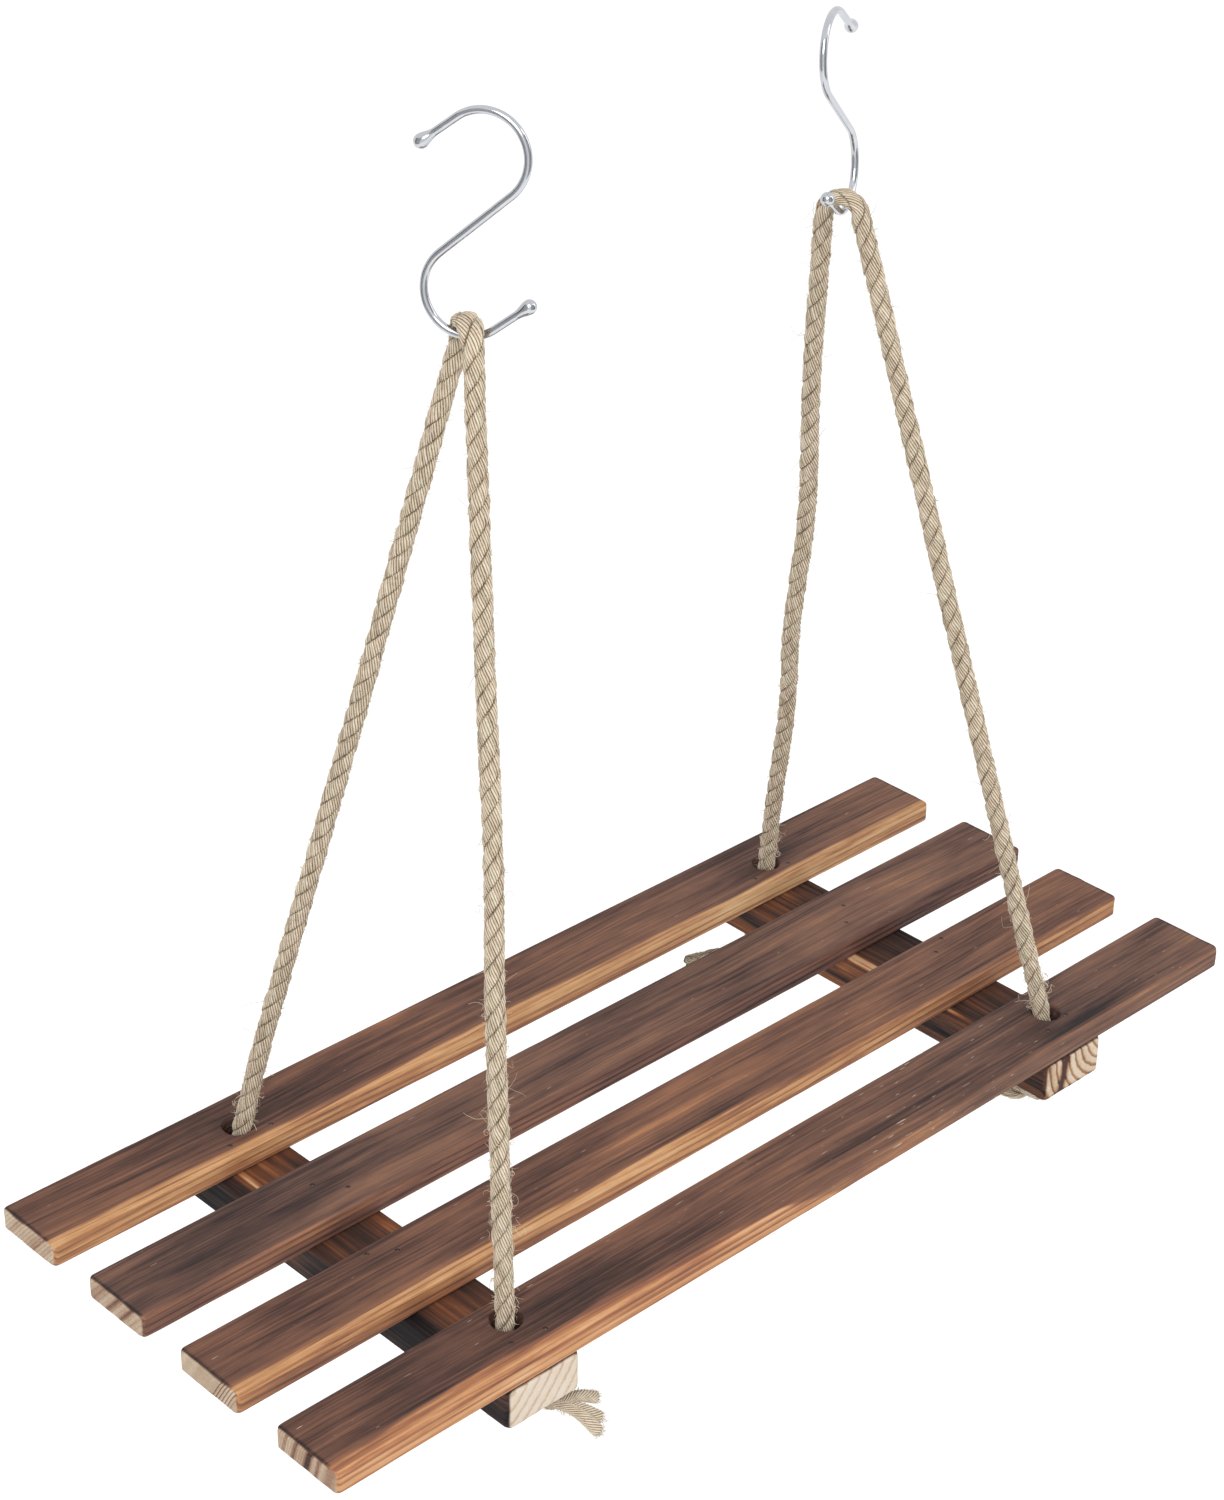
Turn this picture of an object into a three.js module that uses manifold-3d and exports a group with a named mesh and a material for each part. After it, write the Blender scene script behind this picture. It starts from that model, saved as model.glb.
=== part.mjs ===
// Hanging rope shelf: charred wooden slats nailed onto two crossbars, hung by two ropes from two S-hooks.
// Each rope goes over its hook's lower bend, and each of its ends goes down through a slat and a crossbar
// into a stopper knot. Millimetres, +Z up, +X along the slats, +Y to the rear.
// The origin is above the middle of the deck, where the upper bends of the hooks rest on what holds them.

import * as THREE from 'three';
import { mergeVertices } from 'three/addons/utils/BufferGeometryUtils.js';
import Module from 'manifold-3d';

const wasm = await Module();
wasm.setup();

// Deck
const SLAT_COUNT = 4;
const SLAT_LENGTH = 500;
const SLAT_WIDTH = 35;
const SLAT_THICKNESS = 10;
const SLAT_GAP = 22;
const SLAT_CORNER_RADIUS = 2.5;
const SLAT_EDGE_ROUND = 1.4;
const BAR_SPACING = 304;
const BAR_WIDTH = 36;
const BAR_THICKNESS = 18;
const BAR_CORNER_RADIUS = 3;
const BAR_EDGE_ROUND = 1.8;
const WOOD_SEAT_GAP = 0.3;

// Brads, two where a slat crosses a bar
const BRAD_LENGTH = 22;
const BRAD_SHANK_RADIUS = 0.6;
const BRAD_HEAD_RADIUS = 0.9;
const BRAD_HEAD_THICKNESS = 0.7;
const BRAD_POINT_LENGTH = 2;
const BRAD_SINK = 0.2;
const BRAD_CLEARANCE = 0.3;
const BRAD_SHARES = [
  [[-0.24, -0.31], [0.36, -0.29]],
  [[-0.01, 0.11], [0.26, -0.19]],
  [[-0.35, 0.37], [-0.06, 0.20]],
  [[-0.18, -0.17], [0.24, -0.24]],
];

// Rope holes, each a little off the middle of its crossing, as shares of the slat's width
const HOLE_DIAMETER = 12;
const HOLE_SHARES = {
  left: { rear: [0.06, -0.06], front: [0.03, 0.15] },
  right: { rear: [0.03, -0.11], front: [0.05, 0.03] },
};

// S-hooks, each turned about its length by a share of a full turn
const SEAT_SPACING = 192;
const SEAT_HEIGHT = 351;
const HOOK_WIRE_DIAMETER = 3;
const HOOK_BEND_RADIUS = 16;
const HOOK_BEND_OFFSET = 23;
const HOOK_TIP_LENGTH = 15.5;
const HOOK_BALL_DIAMETER = 5;
const HOOK_MOUTH_ANGLE = 132;
const HOOK_TURN_SHARES = { left: -0.1667, right: -0.424 };

// Ropes, pressed thinner over the hooks and in the knots, with each saddle's heading and roll on its hook
// as shares of a full turn
const ROPE_DIAMETER = 7.5;
const ROPE_SADDLE_DIAMETER = 6.4;
const ROPE_KNOT_DIAMETER = 6.2;
const ROPE_CLEARANCE = 0.3;
const SADDLE_RADIUS = { left: 8.7, right: 7.4 };
const SADDLE_TURN_SHARES = { left: -0.322, right: -0.174 };
const SADDLE_ROLL_SHARES = { left: 0.014, right: 0.0305 };
const SADDLE_SHIFT = { left: -0.9, right: 0 };
const SADDLE_CLEARANCE = { left: 0.7, right: 0.4 };
const SADDLE_DROP = 7;
const LEG_SPLIT_GAP = 0.6;
const LEG_DECK_GAP = 0.45;

// Where a leg strays from its straight line: a share of its length, then how far along X and Y
const LEG_WAVES = {
  left: {
    rear: [[0.45, 0, 0], [0.92, -0.6, 0.7]],
    front: [[0.3, 0.3, -0.3], [0.48, 0.8, -0.8], [0.65, 0, 0]],
  },
  right: {
    rear: [[0.21, 0.8, -0.6], [0.4, 3.2, -2.2], [0.58, 1.5, -1.0], [0.72, 2.4, -1.6], [0.9, 0.4, -0.3]],
    front: [[0.35, 0, 0], [0.7, 0, 0]],
  },
};

// Stopper knots, each turned by a share of a full turn and shifted a little from under its hole's middle
const KNOT_RADIUS = 7.66;
const KNOT_LOBE = 3.65;
const KNOT_RISE = 4.38;
const KNOT_LEAD = 1;
const KNOT_LEAD_RISE = 2;
const KNOT_ARC_SHARES = [0.159, 0.8965];
const KNOT_TURN_SHARES = { left: { rear: 0.667, front: 0.711 }, right: { rear: 0.333, front: 0 } };
const KNOT_SHIFT = {
  left: { rear: [0, 0], front: [0, 1.5] },
  right: { rear: [1.5, 0], front: [-2.5, 2.5] },
};
const TAIL_LENGTH = { left: { rear: 20, front: 11 }, right: { rear: 34, front: 14 } };
const TAIL_SLOPE_SHARES = { left: { rear: -0.05, front: 0.1 }, right: { rear: -0.1, front: -0.1 } };

// Strands of the one rope end that has come apart
const STRAND_DIAMETER = 3.8;
const STRAND_LENGTH = 20;
const STRAND_SINK = 4;
const STRAND_DIRECTION_SHARES = [[0.94, -0.1, -0.33], [0.74, -0.44, -0.51], [0.47, -0.7, -0.54]];

// Counts for the faceted round stretches
const CORNER_SEGMENTS = 3;
const EDGE_SEGMENTS = 2;
const HOLE_SIDES = 20;
const BRAD_SIDES = 8;
const WIRE_SIDES = 8;
const HOOK_ARC_POINTS = 24;
const HOOK_STEPS = 64;
const BALL_SEGMENTS = 10;
const ROPE_SIDES = 8;
const SADDLE_POINTS = 9;
const SADDLE_STEPS = 14;
const LEG_STEPS = 14;
const KNOT_POINTS = 22;
const FOOT_STEPS = 48;
const STRAND_SIDES = 6;
const STRAND_STEPS = 6;
const OVERRUN = 5;

// Sizes that follow from the ones above
const SLAT_PITCH = SLAT_WIDTH + SLAT_GAP;
const BAR_LENGTH = SLAT_COUNT * SLAT_WIDTH + (SLAT_COUNT - 1) * SLAT_GAP;
const BAR_TOP = -SLAT_THICKNESS - WOOD_SEAT_GAP;
const BAR_BOTTOM = BAR_TOP - BAR_THICKNESS;
const HOLE_RADIUS = HOLE_DIAMETER / 2;
const ROPE_RADIUS = ROPE_DIAMETER / 2;
const SADDLE_ROPE_RADIUS = ROPE_SADDLE_DIAMETER / 2;
const KNOT_ROPE_RADIUS = ROPE_KNOT_DIAMETER / 2;
const WIRE_RADIUS = HOOK_WIRE_DIAMETER / 2;
const HOOK_SEAT_SPAN = 2 * (HOOK_BEND_OFFSET + HOOK_BEND_RADIUS);
const HOOK_LEAN = Math.atan((BAR_SPACING - SEAT_SPACING) / 2 / SEAT_HEIGHT);
const DECK_DROP = SEAT_HEIGHT + HOOK_SEAT_SPAN * Math.cos(HOOK_LEAN) - WIRE_RADIUS;
const KNOT_HEIGHT = BAR_BOTTOM - ROPE_CLEARANCE - KNOT_RISE - KNOT_ROPE_RADIUS;
const SIDES = [['left', -1], ['right', 1]];
const ENDS = [['rear', 1], ['front', -1]];

// Looks
const slatWood = { color: 0x54463b, roughness: 0.78, metalness: 0 };
const barWood = { color: 0x6f5238, roughness: 0.75, metalness: 0 };
const steel = { color: 0xcfd2d4, roughness: 0.2, metalness: 1 };
const nailSteel = { color: 0xcbb995, roughness: 0.45, metalness: 0.6 };
const jute = { color: 0xb59d7b, roughness: 0.95, metalness: 0 };

const part = new THREE.Group();
const deck = new THREE.Group();
deck.position.z = -DECK_DROP;
part.add(deck);

function turned(share) {
  return 2 * Math.PI * share;
}

function addPiece(name, geometry, look) {
  geometry.computeVertexNormals();
  const mesh = new THREE.Mesh(geometry, new THREE.MeshStandardMaterial(look));
  mesh.name = name;
  deck.add(mesh);
  return mesh;
}

// Solids for cutting and joining

function toSolid(geometry) {
  const bare = geometry.clone();
  bare.deleteAttribute('normal');
  bare.deleteAttribute('uv');
  const merged = mergeVertices(bare);
  const vertProperties = new Float32Array(merged.attributes.position.array);
  const triVerts = new Uint32Array(merged.index.array);
  return new wasm.Manifold(new wasm.Mesh({ numProp: 3, vertProperties, triVerts }));
}

function toGeometry(solid) {
  const mesh = solid.getMesh();
  const geometry = new THREE.BufferGeometry();
  geometry.setAttribute('position', new THREE.BufferAttribute(mesh.vertProperties, 3));
  geometry.setIndex(new THREE.BufferAttribute(mesh.triVerts, 1));
  return geometry;
}

function cut(geometry, cutters) {
  return toGeometry(cutters.reduce((solid, cutter) => solid.subtract(toSolid(cutter)), toSolid(geometry)));
}

function join(geometries) {
  return toGeometry(geometries.map(toSolid).reduce((solid, other) => solid.add(other)));
}

// Wood: a board with its top at z = 0, rounded at its corners and along its edges

function board(length, width, thickness, cornerRadius, edgeRound) {
  const x = length / 2 - cornerRadius;
  const y = width / 2 - cornerRadius;
  const outline = new THREE.Shape();
  outline.absarc(x, y, cornerRadius, 0, Math.PI / 2);
  outline.absarc(-x, y, cornerRadius, Math.PI / 2, Math.PI);
  outline.absarc(-x, -y, cornerRadius, Math.PI, 3 * Math.PI / 2);
  outline.absarc(x, -y, cornerRadius, 3 * Math.PI / 2, 2 * Math.PI);
  const geometry = new THREE.ExtrudeGeometry(outline, {
    depth: thickness - 2 * edgeRound,
    curveSegments: CORNER_SEGMENTS,
    bevelThickness: edgeRound,
    bevelSize: edgeRound,
    bevelOffset: -edgeRound,
    bevelSegments: EDGE_SEGMENTS,
  });
  return geometry.translate(0, 0, edgeRound - thickness);
}

function slatY(index) {
  return ((SLAT_COUNT - 1) / 2 - index) * SLAT_PITCH;
}

function crossing(sideSign, index) {
  return new THREE.Vector2(sideSign * BAR_SPACING / 2, slatY(index));
}

function holeCentre(side, sideSign, end) {
  const [shareX, shareY] = HOLE_SHARES[side][end];
  const place = crossing(sideSign, end === 'rear' ? 0 : SLAT_COUNT - 1);
  return place.add(new THREE.Vector2(shareX * SLAT_WIDTH, shareY * SLAT_WIDTH));
}

const holes = [];
for (const [side, sideSign] of SIDES) {
  for (const [end] of ENDS) {
    holes.push({ side, end, sideSign, centre: holeCentre(side, sideSign, end) });
  }
}

const brads = [];
for (const [side, sideSign] of SIDES) {
  for (let index = 0; index < SLAT_COUNT; index += 1) {
    BRAD_SHARES[index].forEach(([shareX, shareY], number) => {
      const place = crossing(sideSign, index);
      place.x -= sideSign * shareX * SLAT_WIDTH;
      place.y += shareY * SLAT_WIDTH;
      brads.push({ name: `brad_${side}_${index + 1}${number ? 'b' : 'a'}`, side, index, place });
    });
  }
}

function holeCutter(centre) {
  const depth = SLAT_THICKNESS + WOOD_SEAT_GAP + BAR_THICKNESS + 2 * OVERRUN;
  const cutter = new THREE.CylinderGeometry(HOLE_RADIUS, HOLE_RADIUS, depth, HOLE_SIDES);
  return cutter.rotateX(Math.PI / 2).translate(centre.x, centre.y, OVERRUN - depth / 2);
}

// A brad's body about its axis with its head's top at z = 0, or the pocket for one, grown by a clearance

function bradBody(clearance, overrun) {
  const shank = BRAD_SHANK_RADIUS + clearance;
  const head = BRAD_HEAD_RADIUS + clearance;
  const profile = [
    new THREE.Vector2(0, -BRAD_LENGTH - clearance),
    new THREE.Vector2(shank, BRAD_POINT_LENGTH - BRAD_LENGTH - clearance),
    new THREE.Vector2(shank, -BRAD_HEAD_THICKNESS - clearance),
    new THREE.Vector2(head, -BRAD_HEAD_THICKNESS - clearance),
    new THREE.Vector2(head, overrun),
    new THREE.Vector2(0, overrun),
  ];
  return new THREE.LatheGeometry(profile, BRAD_SIDES).rotateX(Math.PI / 2);
}

function bradPocket(place) {
  return bradBody(BRAD_CLEARANCE, OVERRUN).translate(place.x, place.y, -BRAD_SINK);
}

for (let index = 0; index < SLAT_COUNT; index += 1) {
  const y = slatY(index);
  const slat = board(SLAT_LENGTH, SLAT_WIDTH, SLAT_THICKNESS, SLAT_CORNER_RADIUS, SLAT_EDGE_ROUND);
  const ropeHoles = holes.filter((hole) => Math.abs(hole.centre.y - y) < SLAT_WIDTH / 2);
  const pockets = brads.filter((brad) => brad.index === index);
  const cutters = [
    ...ropeHoles.map((hole) => holeCutter(hole.centre)),
    ...pockets.map((brad) => bradPocket(brad.place)),
  ];
  addPiece(`slat_${index + 1}`, cut(slat.translate(0, y, 0), cutters), slatWood);
}

for (const [side, sideSign] of SIDES) {
  const bar = board(BAR_LENGTH, BAR_WIDTH, BAR_THICKNESS, BAR_CORNER_RADIUS, BAR_EDGE_ROUND);
  bar.rotateZ(Math.PI / 2).translate(sideSign * BAR_SPACING / 2, 0, BAR_TOP);
  const cutters = [
    ...holes.filter((hole) => hole.side === side).map((hole) => holeCutter(hole.centre)),
    ...brads.filter((brad) => brad.side === side).map((brad) => bradPocket(brad.place)),
  ];
  addPiece(`crossbar_${side}`, cut(bar, cutters), barWood);
}

for (const brad of brads) {
  const body = bradBody(0, 0).translate(brad.place.x, brad.place.y, -BRAD_SINK);
  addPiece(brad.name, body, nailSteel);
}

// Round wire and rope: a regular outline carried along a smooth curve

function ring(radius, sides) {
  const corners = [];
  for (let i = 0; i < sides; i += 1) {
    const angle = 2 * Math.PI * i / sides;
    corners.push(new THREE.Vector2(radius * Math.cos(angle), radius * Math.sin(angle)));
  }
  return new THREE.Shape(corners);
}

function tube(points, radius, sides, steps) {
  const extrudePath = new THREE.CatmullRomCurve3(points);
  return new THREE.ExtrudeGeometry(ring(radius, sides), { steps, extrudePath });
}

// S-hooks, drawn in the X-Z plane about the middle of the S: the upper bend opens to -X, the lower to +X

function hookHalf() {
  const mouth = THREE.MathUtils.degToRad(HOOK_MOUTH_ANGLE);
  const touch = -Math.PI / 2 + Math.acos(HOOK_BEND_RADIUS / HOOK_BEND_OFFSET);
  const onBend = (angle) => new THREE.Vector3(
    HOOK_BEND_RADIUS * Math.cos(angle),
    0,
    HOOK_BEND_OFFSET + HOOK_BEND_RADIUS * Math.sin(angle),
  );
  const tipWay = new THREE.Vector3(-Math.sin(mouth), 0, Math.cos(mouth));
  const points = [];
  for (const share of [1, 2 / 3, 1 / 3]) {
    points.push(onBend(mouth).addScaledVector(tipWay, share * HOOK_TIP_LENGTH));
  }
  for (let i = 0; i <= HOOK_ARC_POINTS; i += 1) {
    points.push(onBend(THREE.MathUtils.lerp(mouth, touch, i / HOOK_ARC_POINTS)));
  }
  for (const share of [0.75, 0.5, 0.25]) {
    points.push(onBend(touch).multiplyScalar(share));
  }
  return points;
}

function hook() {
  const upper = hookHalf();
  const lower = upper.map((point) => point.clone().negate()).reverse();
  const wire = tube([...upper, new THREE.Vector3(), ...lower], WIRE_RADIUS, WIRE_SIDES, HOOK_STEPS);
  const balls = [upper[0], lower[lower.length - 1]].map((tip) => {
    const ball = new THREE.SphereGeometry(HOOK_BALL_DIAMETER / 2, BALL_SEGMENTS, BALL_SEGMENTS / 2);
    return ball.translate(tip.x, tip.y, tip.z);
  });
  return join([wire, ...balls]).translate(0, 0, HOOK_SEAT_SPAN / 2);
}

function seatOf(sideSign) {
  return new THREE.Vector3(sideSign * SEAT_SPACING / 2, 0, SEAT_HEIGHT);
}

function hookTurn(side, sideSign) {
  return new THREE.Euler(0, -sideSign * HOOK_LEAN, turned(HOOK_TURN_SHARES[side]), 'YZX');
}

for (const [side, sideSign] of SIDES) {
  const mesh = addPiece(`hook_${side}`, hook(), steel);
  mesh.position.copy(seatOf(sideSign));
  mesh.rotation.copy(hookTurn(side, sideSign));
}

// Ropes: the saddle over a hook's lower bend, and where a leg meets it and the deck

function saddleFrame(side, sideSign) {
  const turn = hookTurn(side, sideSign);
  const roll = turned(SADDLE_ROLL_SHARES[side]);
  const reach = HOOK_BEND_RADIUS - WIRE_RADIUS - SADDLE_ROPE_RADIUS - SADDLE_CLEARANCE[side];
  const crown = new THREE.Vector3(
    reach * Math.sin(roll),
    SADDLE_SHIFT[side],
    HOOK_BEND_RADIUS - reach * Math.cos(roll),
  );
  crown.applyEuler(turn).add(seatOf(sideSign));
  const heading = turned(SADDLE_TURN_SHARES[side]);
  const across = new THREE.Vector3(Math.cos(heading), Math.sin(heading), 0);
  const radius = SADDLE_RADIUS[side];
  const centre = crown.clone();
  centre.z -= radius;
  return { centre, across, radius };
}

function ropeEntry(side, sideSign, end) {
  const hole = holeCentre(side, sideSign, end);
  const inward = new THREE.Vector2(sideSign * SEAT_SPACING / 2, 0).sub(hole).normalize();
  const play = HOLE_RADIUS - ROPE_RADIUS - ROPE_CLEARANCE;
  return new THREE.Vector3(hole.x + play * inward.x, hole.y + play * inward.y, 0);
}

function legLine(side, sideSign, end, endSign) {
  const saddle = saddleFrame(side, sideSign);
  const start = saddle.centre.clone().addScaledVector(saddle.across, -endSign * saddle.radius);
  const entry = ropeEntry(side, sideSign, end);
  const length = start.distanceTo(entry);
  const way = entry.clone().sub(start).divideScalar(length);
  return { start, entry, way, length };
}

function saddlePoints(side, sideSign) {
  const saddle = saddleFrame(side, sideSign);
  const [rear, front] = ENDS.map(([end, endSign]) => legLine(side, sideSign, end, endSign));
  const points = [rear.start.clone().addScaledVector(rear.way, SADDLE_DROP)];
  for (let i = 0; i < SADDLE_POINTS; i += 1) {
    const angle = Math.PI * (1 - i / (SADDLE_POINTS - 1));
    const point = saddle.centre.clone().addScaledVector(saddle.across, saddle.radius * Math.cos(angle));
    point.z += saddle.radius * Math.sin(angle);
    points.push(point);
  }
  points.push(front.start.clone().addScaledVector(front.way, SADDLE_DROP));
  return points;
}

function legPoints(side, sideSign, end, endSign) {
  const leg = legLine(side, sideSign, end, endSign);
  const from = SADDLE_DROP + LEG_SPLIT_GAP;
  const footRoom = LEG_DECK_GAP + ROPE_RADIUS * Math.hypot(leg.way.x, leg.way.y);
  const to = leg.length + footRoom / leg.way.z;
  return [[0, 0, 0], ...LEG_WAVES[side][end], [1, 0, 0]].map(([share, x, y]) => {
    const point = leg.start.clone().addScaledVector(leg.way, THREE.MathUtils.lerp(from, to, share));
    return point.add(new THREE.Vector3(x, y, 0));
  });
}

// Feet: down through the hole into an overhand knot that lies under the bar, with a loose tail

function knotPoint(share) {
  const t = 2 * Math.PI * share;
  const reach = KNOT_RADIUS + KNOT_LOBE * Math.cos(3 * t);
  return new THREE.Vector3(reach * Math.cos(2 * t), -reach * Math.sin(2 * t), KNOT_RISE * Math.sin(3 * t));
}

function knotPoints() {
  const [first, last] = KNOT_ARC_SHARES;
  const points = [];
  for (let i = 0; i <= KNOT_POINTS; i += 1) {
    points.push(knotPoint(THREE.MathUtils.lerp(first, last, i / KNOT_POINTS)));
  }
  return points;
}

function footRoute(side, sideSign, end) {
  const knot = knotPoints();
  const lead = knot[0].clone().sub(knot[1]).setZ(0).setLength(KNOT_LEAD).add(knot[0]);
  lead.z = knot[0].z + KNOT_LEAD_RISE;
  const last = knot[knot.length - 1];
  const tailWay = last.clone().sub(knot[knot.length - 2]).setZ(0).normalize();
  tailWay.z = TAIL_SLOPE_SHARES[side][end];
  const tail = [0.5, 1].map((share) => {
    return last.clone().addScaledVector(tailWay, share * TAIL_LENGTH[side][end]);
  });
  const turn = new THREE.Euler(0, 0, turned(KNOT_TURN_SHARES[side][end]));
  const hole = holeCentre(side, sideSign, end);
  const [shiftX, shiftY] = KNOT_SHIFT[side][end];
  const place = new THREE.Vector3(hole.x + shiftX, hole.y + shiftY, KNOT_HEIGHT).sub(
    new THREE.Vector3(lead.x, lead.y, 0).applyEuler(turn),
  );
  const below = [lead, ...knot, ...tail].map((point) => point.applyEuler(turn).add(place));
  const entry = ropeEntry(side, sideSign, end);
  entry.z = -ROPE_CLEARANCE;
  const middle = new THREE.Vector3(hole.x, hole.y, (BAR_TOP + BAR_BOTTOM) / 2);
  return [entry, middle, ...below];
}

function splayedStrands(route) {
  const root = route[route.length - 1];
  const back = route[route.length - 2].clone().sub(root).setLength(STRAND_SINK).add(root);
  return STRAND_DIRECTION_SHARES.map((direction) => {
    const tip = root.clone().addScaledVector(new THREE.Vector3(...direction), STRAND_LENGTH);
    return tube([back, root, tip], STRAND_DIAMETER / 2, STRAND_SIDES, STRAND_STEPS);
  });
}

// The least gap between two stretches of one rope, measured on points along its middle line

function gapToItself(points, diameter) {
  const curve = new THREE.CatmullRomCurve3(points);
  const spots = curve.getSpacedPoints(4 * FOOT_STEPS);
  const stride = curve.getLength() / (4 * FOOT_STEPS);
  const apart = Math.ceil(1.35 * diameter / stride);
  let least = Infinity;
  for (let i = 0; i < spots.length; i += 1) {
    for (let j = i + apart; j < spots.length; j += 1) {
      least = Math.min(least, spots[i].distanceTo(spots[j]));
    }
  }
  return least - diameter;
}

for (const [side, sideSign] of SIDES) {
  const over = tube(saddlePoints(side, sideSign), SADDLE_ROPE_RADIUS, ROPE_SIDES, SADDLE_STEPS);
  addPiece(`rope_saddle_${side}`, over, jute);
  for (const [end, endSign] of ENDS) {
    const leg = tube(legPoints(side, sideSign, end, endSign), ROPE_RADIUS, ROPE_SIDES, LEG_STEPS);
    addPiece(`rope_leg_${side}_${end}`, leg, jute);
    const route = footRoute(side, sideSign, end);
    const rope = tube(route, KNOT_ROPE_RADIUS, ROPE_SIDES, FOOT_STEPS);
    const splayed = side === 'left' && end === 'front';
    const foot = splayed ? join([rope, ...splayedStrands(route)]) : rope;
    addPiece(`rope_foot_${side}_${end}`, foot, jute);
    const gap = gapToItself(route, ROPE_KNOT_DIAMETER);
    console.log(`rope_foot_${side}_${end}: least gap to itself ${gap.toFixed(2)} mm`);
  }
}

export default part;
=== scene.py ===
"""Hanging rope shelf: four charred slats on two crossbars, hung by two three-strand ropes from two S-hooks.

Metres, +Z up, +X along the slats, +Y to the rear. The object is drawn with the top of its deck at z = 0
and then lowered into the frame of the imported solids, whose origin is where the hooks hang.
"""

import math
from dataclasses import dataclass

import bpy
import numpy as np
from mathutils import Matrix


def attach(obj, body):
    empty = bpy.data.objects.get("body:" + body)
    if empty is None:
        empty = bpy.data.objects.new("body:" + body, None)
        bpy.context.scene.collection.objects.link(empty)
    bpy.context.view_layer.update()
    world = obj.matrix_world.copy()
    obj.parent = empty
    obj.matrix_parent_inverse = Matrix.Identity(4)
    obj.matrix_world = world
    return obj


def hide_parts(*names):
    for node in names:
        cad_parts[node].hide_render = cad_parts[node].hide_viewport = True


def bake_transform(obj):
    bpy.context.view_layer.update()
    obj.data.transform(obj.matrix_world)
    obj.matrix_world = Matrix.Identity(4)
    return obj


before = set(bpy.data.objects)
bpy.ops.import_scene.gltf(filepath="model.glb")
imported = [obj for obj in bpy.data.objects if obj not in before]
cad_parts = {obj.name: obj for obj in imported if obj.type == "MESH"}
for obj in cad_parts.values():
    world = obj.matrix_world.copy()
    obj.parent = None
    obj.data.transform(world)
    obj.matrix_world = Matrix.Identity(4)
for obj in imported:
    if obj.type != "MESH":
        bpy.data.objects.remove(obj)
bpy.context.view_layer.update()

# Deck
SLAT_COUNT = 4
SLAT_LENGTH = 0.5
SLAT_WIDTH = 0.035
SLAT_THICKNESS = 0.010
SLAT_GAP = 0.022
SLAT_CORNER_RADIUS = 0.0025
SLAT_EDGE_ROUND = 0.0014
BAR_SPACING = 0.304
BAR_WIDTH = 0.036
BAR_THICKNESS = 0.018
BAR_CORNER_RADIUS = 0.003
BAR_EDGE_ROUND = 0.0018
WOOD_SEAT_GAP = 0.0003
HOLE_RADIUS = 0.006
HOLE_SHARES = {
    "left": {"rear": (0.06, -0.06), "front": (0.03, 0.15)},
    "right": {"rear": (0.03, -0.11), "front": (0.05, 0.03)},
}

# Brads
BRAD_HEAD_RADIUS = 0.0009
BRAD_HEAD_THICKNESS = 0.0007
BRAD_SHANK_RADIUS = 0.0006
BRAD_LENGTH = 0.022
BRAD_POINT_LENGTH = 0.002
BRAD_SINK = 0.0002
BRAD_CLEARANCE = 0.0001
BRAD_SHARES = (
    ((-0.24, -0.31), (0.36, -0.29)),
    ((-0.01, 0.11), (0.26, -0.19)),
    ((-0.35, 0.37), (-0.06, 0.20)),
    ((-0.18, -0.17), (0.24, -0.24)),
)

# Hooks, each turned about its length by a share of a full turn
SEAT_SPACING = 0.192
SEAT_HEIGHT = 0.351
WIRE_RADIUS = 0.0015
HOOK_BEND_RADIUS = 0.016
HOOK_BEND_OFFSET = 0.023
HOOK_TIP_LENGTH = 0.0155
HOOK_BALL_RADIUS = 0.0027
HOOK_NECK_LENGTH = 0.006
HOOK_MOUTH_ANGLE = 132
HOOK_TURN_SHARES = {"left": -0.1667, "right": -0.424}

# Ropes
ROPE_RADIUS = 0.00375
ROPE_SADDLE_RADIUS = 0.0032
ROPE_KNOT_RADIUS = 0.0031
ROPE_CLEARANCE = 0.0003
SADDLE_RADIUS = {"left": 0.0087, "right": 0.0074}
SADDLE_TURN_SHARES = {"left": -0.322, "right": -0.174}
SADDLE_ROLL_SHARES = {"left": 0.014, "right": 0.0305}
SADDLE_SHIFT = {"left": -0.0009, "right": 0}
SADDLE_CLEARANCE = {"left": 0.0007, "right": 0.0004}
SADDLE_DROP = 0.007
SADDLE_POINTS = 9
LEG_END_SHARE = 0.985
LEG_WAVES = {
    "left": {
        "rear": ((0.45, 0, 0), (0.92, -0.0006, 0.0007)),
        "front": ((0.3, 0.0003, -0.0003), (0.48, 0.0008, -0.0008), (0.65, 0, 0)),
    },
    "right": {
        "rear": (
            (0.21, 0.0008, -0.0006), (0.4, 0.0032, -0.0022), (0.58, 0.0015, -0.001),
            (0.72, 0.0024, -0.0016), (0.9, 0.0004, -0.0003),
        ),
        "front": ((0.35, 0, 0), (0.7, 0, 0)),
    },
}
KNOT_RADIUS = 0.00766
KNOT_LOBE = 0.00365
KNOT_RISE = 0.00438
KNOT_LEAD = 0.001
KNOT_LEAD_RISE = 0.002
KNOT_ARC_SHARES = (0.159, 0.8965)
KNOT_POINTS = 22
KNOT_TURN_SHARES = {
    "left": {"rear": 0.667, "front": 0.711},
    "right": {"rear": 0.333, "front": 0},
}
KNOT_SHIFT = {
    "left": {"rear": (0, 0), "front": (0, 0.0015)},
    "right": {"rear": (0.0015, 0), "front": (-0.0025, 0.0025)},
}
TAIL_LENGTH = {
    "left": {"rear": 0.020, "front": 0.011},
    "right": {"rear": 0.034, "front": 0.014},
}
TAIL_SLOPE_SHARES = {
    "left": {"rear": -0.05, "front": 0.1},
    "right": {"rear": -0.1, "front": -0.1},
}
SPLAY_LENGTH = 0.020
SPLAY_SINK = 0.004
SPLAY_SHARES = ((0.94, -0.1, -0.33), (0.74, -0.44, -0.51), (0.47, -0.7, -0.54))
SPLAY_DROOP = (0.0022, 0.0016, 0.0022)
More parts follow.
